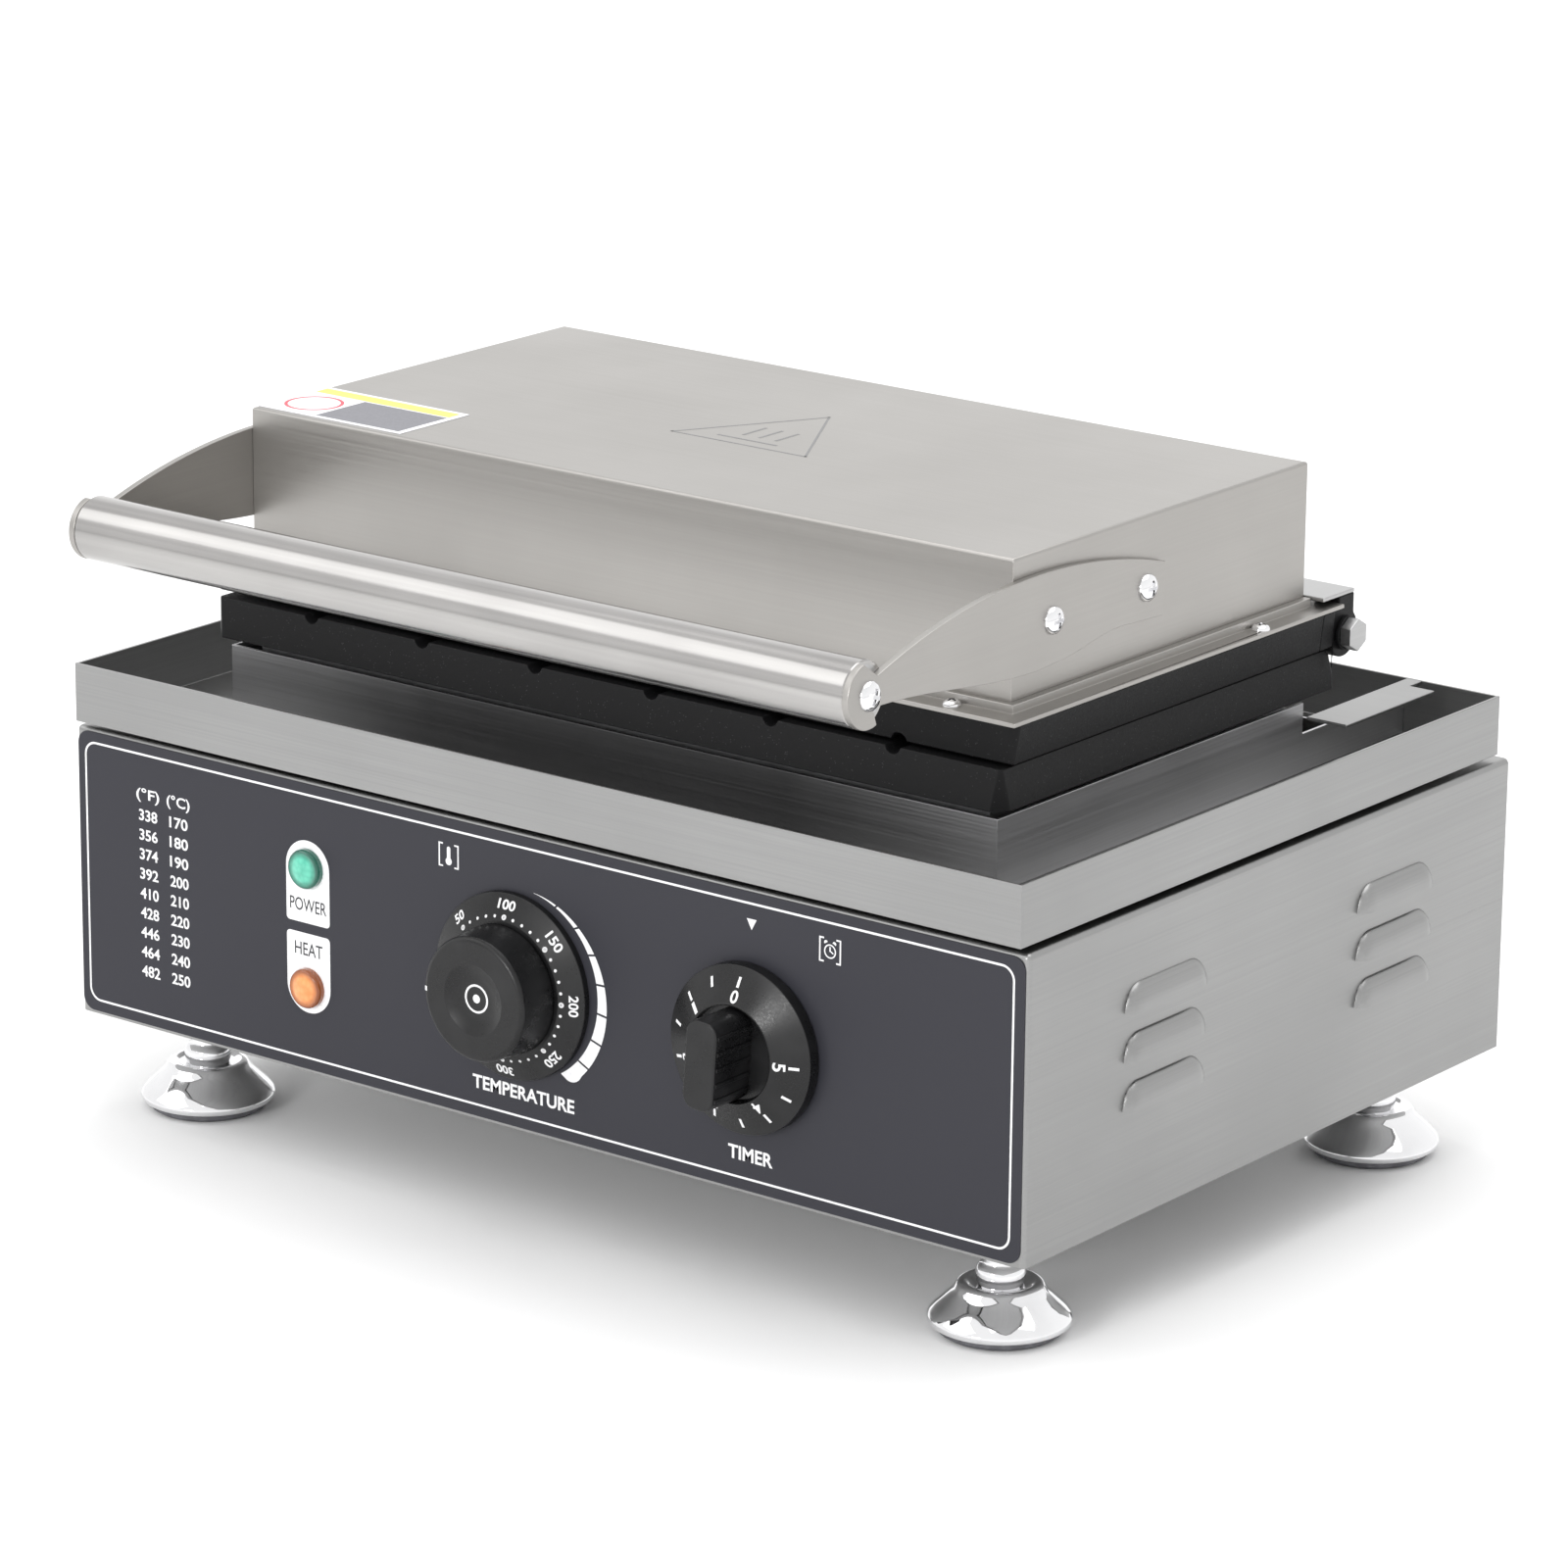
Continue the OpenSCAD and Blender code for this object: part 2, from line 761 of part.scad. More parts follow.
module lid_conduit() {
  place() color("darkgray") {
    translate([conduit_x, conduit_y, tray_floor + 1])
      cylinder(r = conduit_r - eps, h = conduit_z - conduit_bend - tray_floor - 1);
    translate([conduit_x, conduit_y - conduit_bend, conduit_z - conduit_bend])
      rotate([90, 0, 90]) rotate_extrude(angle = 90)
        translate([conduit_bend, 0]) circle(conduit_r - eps);
    rod_y(conduit_x, conduit_z, conduit_r - eps, lid_y0 + lid_d + 1, conduit_y - conduit_bend);
  }
}

// ---------- controls ----------

// A solid of revolution along -Y around (x, z), its outline in (radius, height).
module turned(x, z, y) {
  translate([x, y, z]) rotate([90, 0, 0]) rotate_extrude() children();
}

module temperature_bezel() {
  place() color("#151516") difference() {
    turned(temperature_x, knob_z, -overlay_t)
      polygon([[0, 0], [bezel_r, 0], [bezel_r, bezel_side], [knob_r + 1.2, bezel_h], [0, bezel_h]]);
    rod_y(temperature_x, knob_z, 5.5, -10, 1);
  }
}

module temperature_knob() {
  place() color("#151516") difference() {
    turned(temperature_x, knob_z, knob_y)
      polygon(concat(
        [[0, 0], [knob_r, 0], [knob_face_r, knob_h - 2]],
        arc(knob_face_r - 2, knob_h - 2, 2, 15, 90, 5),
        [[9.5, knob_h], [8.5, knob_h - 0.8], [0, knob_h - 0.8]]
      ));
    rod_y(temperature_x, knob_z, shaft_r, knob_y - 9, knob_y + 1);
  }
}

module temperature_shaft() {
  place() color("darkgray") rod_y(temperature_x, knob_z, shaft_r, knob_y - 9, 16);
}

module timer_knob() {
  y = -overlay_t - slit;
  place() color("#151516") difference() {
    union() {
      turned(timer_x, knob_z, y)
        polygon([
          [0, 0], [skirt_dial_r, 0], [skirt_dial_r, skirt_dial_side], [well_r + 0.6, skirt_dial_h],
          [well_r, skirt_dial_h], [well_r, well_floor_h], [0, well_floor_h]
        ]);
      translate([timer_x, y - well_floor_h + 1, knob_z]) rotate([90, 0, 0])
        linear_extrude(grip_h + 1) round_rect(grip_w, -grip_l / 2, grip_l / 2, grip_corner);
    }
    rod_y(timer_x, knob_z, shaft_r, -13, 1);
  }
}

module timer_shaft() {
  place() color("darkgray") rod_y(timer_x, knob_z, shaft_r, -13, 16);
}

module thermostat() {
  place() color("tan") difference() {
    union() {
      block([temperature_x - 18, 12, knob_z - 18], [temperature_x + 18, 38, knob_z + 18]);
      rod_y(temperature_x, knob_z, 5.4, -overlay_t - 1, 13);
    }
    rod_y(temperature_x, knob_z, shaft_r + run_fit, -5, 17);
  }
}

module thermostat_capillary() {
  bulb_z = lower_z0 - belly_h - 3;
  place() color("peru") {
    rod_x(206, bulb_z, 3, 20, 100);
    rod_x(206, bulb_z, 1, 99, 146);
  }
}

module timer_mechanism() {
  place() color("tan") difference() {
    union() {
      block([timer_x - 22, 12, knob_z - 22], [timer_x + 22, 46, knob_z + 22]);
      rod_y(timer_x, knob_z, 5.4, 1, 13);
    }
    rod_y(timer_x, knob_z, shaft_r + run_fit, 0, 17);
  }
}

module lamp(z) {
  turned(lamp_x, z, -overlay_t)
    polygon(concat([[0, 0], [lamp_r, 0]], arc(lamp_r - 1.5, 1.5, 1.5, 0, 60, 3),
      [[lamp_r - 2, 3.2], [0, 3.6]]));
  rod_y(lamp_x, z, 5.8, -overlay_t, 26);
}

module power_lamp() {
  place() color("seagreen") lamp(lamp_zs[0]);
}

module heat_lamp() {
  place() color("orange") lamp(lamp_zs[1]);
}

module terminal_block() {
  place() color("ivory") difference() {
    block([gland_x - 30, 200, sheet], [gland_x + 22, 222, sheet + 20]);
    for (i = [0:3])
      translate([gland_x - 22 + 12 * i, 211, sheet + 8]) cylinder(r = 3, h = 20);
  }
}

// Wires laid in straight runs with square turns.
module wire(points, r) {
  for (i = [0:len(points) - 2]) {
    run = points[i + 1] - points[i];
    length = norm(run);
    pitch = acos(run[2] / length);
    yaw = atan2(run[1], run[0]);
    translate(points[i]) rotate([0, pitch, yaw]) cylinder(r = r, h = length);
  }
  for (i = [1:len(points) - 2])
    translate(points[i]) sphere(r);
}

module base_wiring() {
  place() color("darkred") {
    wire([[gland_x - 10, 223, 12], [gland_x - 10, 240, 12], [gland_x - 10, 240, 90],
      [140, 240, 90]], 1.5);
    wire([[timer_x, 47, knob_z], [timer_x, 120, knob_z], [timer_x, 120, 14], [timer_x, 199, 14]], 1.5);
    wire([[temperature_x, 39, knob_z], [temperature_x, 90, knob_z], [60, 90, knob_z]], 1.5);
    wire([[lamp_x, 27, lamp_zs[0]], [lamp_x, 60, lamp_zs[0]], [-30, 60, lamp_zs[0]]], 1.5);
    wire([[lamp_x, 27, lamp_zs[1]], [lamp_x, 60, lamp_zs[1]], [-30, 60, lamp_zs[1]]], 1.5);
  }
}

// ---------- back ----------

// The cable's place in the back panel.
module at_gland() {
  translate([gland_x, body_d - panel_set, gland_z]) children();
}

module cable_gland() {
  place() color("#202020") at_gland() rotate([-90, 0, 0]) difference() {
    union() {
      translate([0, 0, -12]) cylinder(r = 7.9, h = 13);
      cylinder(r = gland_cap_r + 2, h = 5, $fn = 6);
      translate([0, 0, 5]) cylinder(r = gland_cap_r, h = gland_cap_z - 5);
      translate([0, 0, gland_cap_z]) rotate_extrude()
        polygon(concat([[0, 0]], arc(gland_cap_r - gland_dome, 0, gland_dome, 0, 90, 6),
          [[0, gland_dome]]));
    }
    translate([0, 0, -13]) cylinder(r = gland_bore, h = 40);
  }
}

module gland_nut() {
  place() color("#202020") at_gland() translate([0, -sheet, 0]) rotate([90, 0, 0]) difference() {
    cylinder(r = 12, h = 5, $fn = 6);
    translate([0, 0, -1]) cylinder(r = 7.9, h = 8);
  }
}

module panel_screws() {
  place() color("gainsboro") for (x = back_screw_xs)
    for (z = panel_screw_zs)
      translate([x, body_d - panel_set, z]) rotate([-90, 0, 0]) dome_screw(3, 1.8, 1.6, 7);
}

// ---------- feet ----------

module foot_weld_nuts() {
  place() color("darkgray") both_sides() for (y = foot_ys)
    translate([body_w / 2 - foot_inset, y, sheet]) difference() {
      cylinder(r = 11, h = 8, $fn = 6);
      translate([0, 0, -1]) cylinder(r = stem_r + run_fit, h = 10);
    }
}

module foot_lock_nuts() {
  place() color("gainsboro") both_sides() for (y = foot_ys)
    translate([body_w / 2 - foot_inset, y, -lock_nut_h]) difference() {
      cylinder(r = 9.8, h = lock_nut_h, $fn = 6);
      translate([0, 0, -1]) cylinder(r = stem_r + run_fit, h = lock_nut_h + 2);
    }
}

// The chromed bell of a foot with its stem, its rubber ring left out.
module foot(side, y) {
  place() color("gainsboro") translate([side * (body_w / 2 - foot_inset), y, -foot_h]) {
    rotate_extrude() polygon(concat(
      [[0, 3], [foot_r - 2, 3]],
      arc(foot_r - 2, 5, 2, -90, 30, 6),
      arc(foot_r - 12, 14, 3.5, 35, 90, 5),
      [[10.5, 17.5], [9.5, 16.5], [0, 16.5]]
    ));
    rotate_extrude() polygon(concat(
      [[0, 16]], arc(0, 20, collar_r, -28, 0, 4),
      [[collar_r, 22], [stem_r, 24.5], [0, 24.5]]
    ));
    translate([0, 0, 16]) cylinder(r = stem_r, h = foot_h + 2);
  }
}

module pad(side, y) {
  place() color("#4a4a4a") translate([side * (body_w / 2 - foot_inset), y, -foot_h])
    rotate_extrude() polygon([[0, 0], [foot_r - 4.5, 0], [foot_r - 3, 1.5], [foot_r - 3, 3], [0, 3]]);
}

module foot_front_left() { foot(-1, foot_ys[0]); }
module foot_front_right() { foot(1, foot_ys[0]); }
module foot_rear_left() { foot(-1, foot_ys[1]); }
module foot_rear_right() { foot(1, foot_ys[1]); }
module pad_front_left() { pad(-1, foot_ys[0]); }
module pad_front_right() { pad(1, foot_ys[0]); }
module pad_rear_left() { pad(-1, foot_ys[1]); }
module pad_rear_right() { pad(1, foot_ys[1]); }

base_shell();
back_panel();
bottom_plate();
control_overlay();
drip_tray();
heater_skirt();
duct_cover();
plate_pillars();
lower_plate();
lower_heater_bed();
lower_heater();
lower_heater_clamp();
lower_insulation();
temperature_bezel();
thermostat();
thermostat_capillary();
timer_mechanism();
power_lamp();
heat_lamp();
terminal_block();
base_wiring();
cable_gland();
gland_nut();
panel_screws();
foot_weld_nuts();
foot_lock_nuts();
foot_front_left();
foot_front_right();
foot_rear_left();
foot_rear_right();
pad_front_left();
pad_front_right();
pad_rear_left();
pad_rear_right();
hinge_bolts();
hinge_washers();
hinge_nuts();
base_conduit_fitting();
lid_conduit();
lid_conduit_fitting();
upper_plate();
upper_hinge_ears();
upper_heater_bed();
upper_heater();
upper_heater_clamp();
upper_insulation();
lid_flange();
lid_box();
lid_label();
hinge_strip();
handle_tube();
handle_end_plugs();
handle_arm_left();
handle_arm_right();
handle_screws();
arm_screws();
flange_screws();
temperature_knob();
temperature_shaft();
timer_knob();
timer_shaft();
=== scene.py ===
import sys
import json
import logging
import math
from dataclasses import dataclass, field
from enum import Enum
from typing import Callable, Iterable, Optional, Sequence

import bmesh
import bpy
from mathutils import Matrix, Vector

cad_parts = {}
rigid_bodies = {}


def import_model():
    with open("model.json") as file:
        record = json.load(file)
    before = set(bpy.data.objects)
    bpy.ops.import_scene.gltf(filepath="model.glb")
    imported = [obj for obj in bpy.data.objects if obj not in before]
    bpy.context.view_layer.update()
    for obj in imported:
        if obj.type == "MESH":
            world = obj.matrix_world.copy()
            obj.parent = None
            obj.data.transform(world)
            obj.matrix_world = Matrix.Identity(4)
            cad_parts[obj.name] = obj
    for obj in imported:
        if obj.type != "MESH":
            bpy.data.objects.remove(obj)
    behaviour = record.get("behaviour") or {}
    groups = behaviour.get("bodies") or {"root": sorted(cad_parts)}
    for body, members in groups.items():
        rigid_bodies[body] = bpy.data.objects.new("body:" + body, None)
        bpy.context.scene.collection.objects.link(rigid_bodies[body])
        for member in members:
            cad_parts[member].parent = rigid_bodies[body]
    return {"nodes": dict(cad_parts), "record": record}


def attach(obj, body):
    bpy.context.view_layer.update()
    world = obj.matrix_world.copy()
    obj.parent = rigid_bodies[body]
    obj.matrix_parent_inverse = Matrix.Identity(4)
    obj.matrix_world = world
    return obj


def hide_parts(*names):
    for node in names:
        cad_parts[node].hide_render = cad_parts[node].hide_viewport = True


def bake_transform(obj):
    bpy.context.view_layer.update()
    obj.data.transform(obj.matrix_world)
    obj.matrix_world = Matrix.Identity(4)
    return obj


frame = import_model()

LOG = logging.getLogger("waffle_maker")

Piece = bpy.types.Object
Socket = bpy.types.NodeSocket
Outline = list[tuple[float, float]]
Color = tuple[float, float, float]

# Sizes are in millimetres in the machine's own numbers: x from the middle, y from the
# front face of the base, z from the base box's bottom edge. `at` turns them into the frame.
MID_Y = 129.0
FOOT_H = 37.0
BODY_W, BODY_D, BODY_H = 410.0, 283.0, 105.0
SHEET = 1.2
LID_W, LID_D, LID_Y0, LID_Z0, LID_TOP = 325.0, 169.0, 46.5, 166.5, 216.5
PANEL_Y = -0.5
KNOB_Z = 51.3
TEMPERATURE_X = -5.2
TIMER_X = 94.5
LAMP_X = -97.0


def at(x: float, y: float, z: float) -> Vector:
    """A point of the machine in the shared frame."""
    return Vector((x, y - MID_Y, z + FOOT_H)) / 1000.0


class Grain(Enum):
    """Which way a sheet is brushed on its front and top faces."""

    ALONG_X = "along_x"
    ALONG_Y = "along_y"


class Axis(Enum):
    """The axis that a turned shape or a ring stands on."""

    X = "x"
    Y = "y"
    NEG_Y = "-y"
    Z = "z"


AXIS_TURN: dict[Axis, Matrix] = {
    Axis.X: Matrix.Rotation(math.pi / 2, 4, "Y"),
    Axis.Y: Matrix.Rotation(-math.pi / 2, 4, "X"),
    Axis.NEG_Y: Matrix.Rotation(math.pi / 2, 4, "X"),
    Axis.Z: Matrix.Identity(4),
}


def stand(x: float, y: float, z: float, axis: Axis = Axis.Z) -> Matrix:
    """The place of a shape made along +Z that is to stand at a point of the machine."""
    return Matrix.Translation(at(x, y, z)) @ AXIS_TURN[axis]


# ---------------------------------------------------------------- materials


class Shade:
    """Builds one material's node tree around a Principled shader."""

    def __init__(self, name: str) -> None:
        """Starts an empty material.

        Args:
            name: The material's name.
        """
        self.material = bpy.data.materials.new(name)
        self.material.use_nodes = True
        self.tree = self.material.node_tree
        self.tree.nodes.clear()
        self.output = self.tree.nodes.new("ShaderNodeOutputMaterial")
        self.shader = self.tree.nodes.new("ShaderNodeBsdfPrincipled")
        self.tree.links.new(self.shader.outputs["BSDF"], self.output.inputs["Surface"])
        self.coords = self.tree.nodes.new("ShaderNodeTexCoord")

    def put(self, **values: object) -> None:
        """Sets constant values on the shader's own sockets."""
        for key, value in values.items():
            self.shader.inputs[key.replace("_", " ")].default_value = value

    def join(self, source: Socket, target: Socket) -> None:
        """Links one socket to another."""
        self.tree.links.new(source, target)

    def color(self, source: Socket) -> None:
        """Links the base colour."""
        self.join(source, self.shader.inputs["Base Color"])

    def rough(self, source: Socket) -> None:
        """Links the roughness."""
        self.join(source, self.shader.inputs["Roughness"])

    def mapped(self, scale: Sequence[float], move: Sequence[float] = (0, 0, 0)) -> Socket:
        """Object coordinates, scaled and moved.

        Args:
            scale: Scale along each axis.
            move: Shift after the scale.

        Returns:
            The vector socket.
        """
        node = self.tree.nodes.new("ShaderNodeMapping")
        node.inputs["Scale"].default_value = scale
        node.inputs["Location"].default_value = move
        self.join(self.coords.outputs["Object"], node.inputs["Vector"])
        return node.outputs["Vector"]

    def noise(
        self, vector: Socket, scale: float, detail: float = 2.0, roughness: float = 0.5
    ) -> Socket:
        """A noise value on the given vector.

        Returns:
            The factor socket.
        """
        node = self.tree.nodes.new("ShaderNodeTexNoise")
        node.inputs["Scale"].default_value = scale
        node.inputs["Detail"].default_value = detail
        node.inputs["Roughness"].default_value = roughness
        self.join(vector, node.inputs["Vector"])
        return node.outputs["Fac"]

    def even(self, scale: float, detail: float = 2.0, roughness: float = 0.5) -> Socket:
        """Noise that is alike in every direction."""
        return self.noise(self.mapped((1, 1, 1)), scale, detail, roughness)

    def cells(self, scale: float) -> Socket:
        """Distance to the nearest of many scattered points.

        Returns:
            The distance socket.
        """
        node = self.tree.nodes.new("ShaderNodeTexVoronoi")
        node.inputs["Scale"].default_value = scale
        self.join(self.mapped((1, 1, 1)), node.inputs["Vector"])
        return node.outputs["Distance"]

    def math(
        self, kind: str, first: object, second: object = 0.0, third: Optional[float] = None
    ) -> Socket:
        """One math node.

        Args:
            kind: The operation.
            first: A socket or a number.
            second: A socket or a number.
            third: A number for the third input, where the operation has one.

        Returns:
            The value socket.
        """
        node = self.tree.nodes.new("ShaderNodeMath")
        node.operation = kind
        for index, value in enumerate((first, second)):
            if isinstance(value, Socket):
                self.join(value, node.inputs[index])
            else:
                node.inputs[index].default_value = value
        if third is not None:
            node.inputs[2].default_value = third
        return node.outputs[0]

    def span(self, value: Socket, low: float, high: float, out_low: float, out_high: float) -> Socket:
        """Stretches a value from one span to another, with its ends held.

        Returns:
            The value socket.
        """
        node = self.tree.nodes.new("ShaderNodeMapRange")
        for key, number in (("From Min", low), ("From Max", high), ("To Min", out_low), ("To Max", out_high)):
            node.inputs[key].default_value = number
        self.join(value, node.inputs["Value"])
        return node.outputs["Result"]

    def blend(self, factor: object, first: object, second: object) -> Socket:
        """Mixes two colours.

        Args:
            factor: A socket or a number.
            first: Colour or socket at 0.
            second: Colour or socket at 1.

        Returns:
            The colour socket.
        """
        node = self.tree.nodes.new("ShaderNodeMix")
        node.data_type = "RGBA"
        pairs = ((node.inputs["Factor"], factor), (node.inputs[6], first), (node.inputs[7], second))
        for socket, value in pairs:
            if isinstance(value, Socket):
                self.join(value, socket)
            elif isinstance(value, (tuple, list)):
                socket.default_value = (*value[:3], 1.0)
            else:
                socket.default_value = value
        return node.outputs[2]

    def mix_value(self, factor: object, first: object, second: object) -> Socket:
        """Mixes two values.

        Returns:
            The value socket.
        """
        node = self.tree.nodes.new("ShaderNodeMix")
        for socket, value in ((node.inputs[0], factor), (node.inputs[2], first), (node.inputs[3], second)):
            if isinstance(value, Socket):
                self.join(value, socket)
            else:
                socket.default_value = value
        return node.outputs[0]

    def axis_part(self, output: str, index: int) -> Socket:
        """One part of an object-space vector such as the normal.

        Returns:
            The value socket.
        """
        node = self.tree.nodes.new("ShaderNodeSeparateXYZ")
        self.join(self.coords.outputs[output], node.inputs[0])
        return node.outputs[index]

    def bump(
        self, height: Socket, strength: float, distance: float, first: Optional[Socket] = None
    ) -> Socket:
        """A bump on the shader's normal.

        Args:
            height: The height socket.
            strength: How much of the bump shows.
            distance: The height of a full step, in metres.
            first: A normal that this one is laid over.

        Returns:
            The normal socket.
        """
        node = self.tree.nodes.new("ShaderNodeBump")
        node.inputs["Strength"].default_value = strength
        node.inputs["Distance"].default_value = distance
        self.join(height, node.inputs["Height"])
        if first is not None:
            self.join(first, node.inputs["Normal"])
        self.join(node.outputs["Normal"], self.shader.inputs["Normal"])
        return node.outputs["Normal"]


@dataclass(frozen=True)
class Finish:
    """A surface finish; each kind builds its own node tree."""

    name: str
    color: Color

    def toned(self, factor: float, plus: float = 0.0) -> Color:
        """The colour made deeper or paler."""
        return tuple(min(1.0, c * factor + plus) for c in self.color)

    def build(self) -> bpy.types.Material:
        """Makes the material.

        Returns:
            The material.
        """
        shade = Shade(self.name)
        self.dress(shade)
        return shade.material

    def dress(self, s: Shade) -> None:
        """Fills in the look."""
        raise NotImplementedError


@dataclass(frozen=True)
class BrushedSteel(Finish):
    """Sheet steel with a fine one-way grain and faint smudges."""

    roughness: float = 0.3
    grain: Grain = Grain.ALONG_X
    depth: float = 0.25
    mottle: float = 0.06
    streak: float = 0.08
    # How strongly the middle of x is darkened, as painted reflection; 0 for none.
    middle_shade: float = 0.0

    def dress(self, s: Shade) -> None:
        """Lays the grain along the sheet: across the front and top, and front to back on the sides.

        Args:
            s: The shader tree.
        """
        fine, long = 1500.0, 6.0
        on_front = (long, fine, fine) if self.grain is Grain.ALONG_X else (fine, long, fine)
        across = s.noise(s.mapped(on_front), 1.0, 3.0, 0.6)
        along = s.noise(s.mapped((fine, long, fine)), 1.0, 3.0, 0.6)
        side = s.math("GREATER_THAN", s.math("ABSOLUTE", s.axis_part("Normal", 0)), 0.7)
        grain = s.mix_value(side, across, along)
        coarse_front = (12.0, 260.0, 260.0) if self.grain is Grain.ALONG_X else (260.0, 12.0, 260.0)
        coarse = s.mix_value(
            side, s.noise(s.mapped(coarse_front), 1.0, 2.0), s.noise(s.mapped((260.0, 12.0, 260.0)), 1.0, 2.0)
        )
        cloud = s.even(9.0, 3.0, 0.55)
        low = self.toned(1 - self.streak)
        high = self.toned(1 + self.streak)
        streaks = s.blend(s.span(s.mix_value(0.2, grain, coarse), 0.3, 0.7, 0, 1), low, high)
        dim = self.toned(1 - self.mottle * 2)
        tone = s.blend(s.span(cloud, 0.35, 0.7, 0.0, 0.5), streaks, dim)
        # Painted reflection: the steel darkens towards x = 0, fading out between about 75 and 160 mm from the
        # middle. It stands for the dark plates mirrored in it.
        if self.middle_shade > 0:
            wide = s.math("ABSOLUTE", s.axis_part("Object", 0))
            shade = s.span(
                s.math("ADD", wide, s.span(cloud, 0.3, 0.7, -0.012, 0.012)),
                0.075, 0.160, self.middle_shade, 0.0
            )
            tone = s.blend(shade, tone, self.toned(0.18))
        s.color(tone)
        rough = s.math(
            "ADD", s.span(grain, 0.25, 0.75, self.roughness - 0.05, self.roughness + 0.06),
            s.span(cloud, 0.3, 0.7, -0.03, 0.04)
        )
        s.rough(rough)
        s.put(Metallic=1.0)
        s.bump(grain, self.depth, 0.00002)


@dataclass(frozen=True)
class Plated(Finish):
    """Chrome or nickel plate, nearly a mirror, with faint haze."""

    roughness: float = 0.06

    def dress(self, s: Shade) -> None:
        """Makes the plate with a slow ripple and cloudy haze.

        Args:
            s: The shader tree.
        """
        cloud = s.even(55.0, 3.0)
        s.rough(s.span(cloud, 0.35, 0.75, self.roughness * 0.6, self.roughness * 2.2))
        dim = self.toned(0.92)
        s.color(s.blend(s.span(cloud, 0.4, 0.7, 0, 1), self.color, dim))
        s.put(Metallic=1.0)
        s.bump(s.even(140.0, 1.0), 0.08, 0.0002)


@dataclass(frozen=True)
class PolishedTube(Finish):
    """Polished round tube, with fine marks that run along it."""

    roughness: float = 0.16

    def dress(self, s: Shade) -> None:
        """Makes the tube's metal with long streaks along X.

        Args:
            s: The shader tree.
        """
        streak = s.noise(s.mapped((5.0, 420.0, 420.0)), 1.0, 3.0, 0.6)
        band = s.noise(s.mapped((18.0, 60.0, 60.0)), 1.0, 2.0)
        s.rough(s.span(streak, 0.3, 0.7, self.roughness - 0.04, self.roughness + 0.07))
        dim = self.toned(0.80)
        s.color(s.blend(s.span(s.mix_value(0.5, streak, band), 0.35, 0.65, 0, 1), dim, self.color))
        s.put(Metallic=1.0)
        s.bump(streak, 0.25, 0.00003)


@dataclass(frozen=True)
class CastCoating(Finish):
    """Cast plate with a black non-stick coat: an even fine speckle."""

    roughness: float = 0.42

    def dress(self, s: Shade) -> None:
        """Makes the coat with cast unevenness under a fine sparkle.

        Args:
            s: The shader tree.
        """
        grit = s.even(1500.0, 2.0, 0.7)
        fleck = s.cells(1100.0)
        fleck_on = s.span(fleck, 0.10, 0.22, 1.0, 0.0)
        pick = s.math("GREATER_THAN", s.even(420.0, 1.0), 0.56)
        spark = s.math("MULTIPLY", fleck_on, pick)
        light = self.toned(7, 0.03)
        s.color(s.blend(s.math("MULTIPLY", spark, 0.6), self.color, light))
        s.rough(s.span(grit, 0.3, 0.7, self.roughness - 0.08, self.roughness + 0.12))
        s.put(Specular_IOR_Level=0.16)
        cast = s.even(260.0, 2.0)
        s.bump(s.mix_value(0.35, grit, cast), 0.35, 0.00012)


@dataclass(frozen=True)
class PrintedFilm(Finish):
    """A satin polycarbonate film with a very fine texture."""

    roughness: float = 0.38
    bump_depth: float = 0.10
    specular: float = 0.5

    def dress(self, s: Shade) -> None:
        """Makes the film.

        Args:
            s: The shader tree.
        """
        pebble = s.even(2600.0, 2.0)
        cloud = s.even(12.0, 2.0)
        dim = self.toned(0.93)
        s.color(s.blend(cloud, self.color, dim))
        s.rough(s.span(pebble, 0.3, 0.7, self.roughness - 0.04, self.roughness + 0.05))
        s.put(Specular_IOR_Level=self.specular)
        s.bump(pebble, self.bump_depth, 0.00003)


@dataclass(frozen=True)
class Phenolic(Finish):
    """Black moulded phenolic with a soft sheen, fine pits and handling wear."""

    roughness: float = 0.3

    def dress(self, s: Shade) -> None:
        """Makes the plastic.

        Args:
            s: The shader tree.
        """
        pit = s.even(1300.0, 2.0, 0.6)
        cloud = s.even(60.0, 3.0)
        lift = self.toned(1.8, 0.002)
        s.color(s.blend(s.span(cloud, 0.45, 0.75, 0, 1), self.color, lift))
        s.rough(
            s.math(
                "ADD", s.span(pit, 0.3, 0.7, -0.04, 0.06),
                s.span(cloud, 0.3, 0.7, self.roughness - 0.05, self.roughness + 0.07)
            )
        )
        s.put(Specular_IOR_Level=0.36)
        s.bump(pit, 0.16, 0.00006)


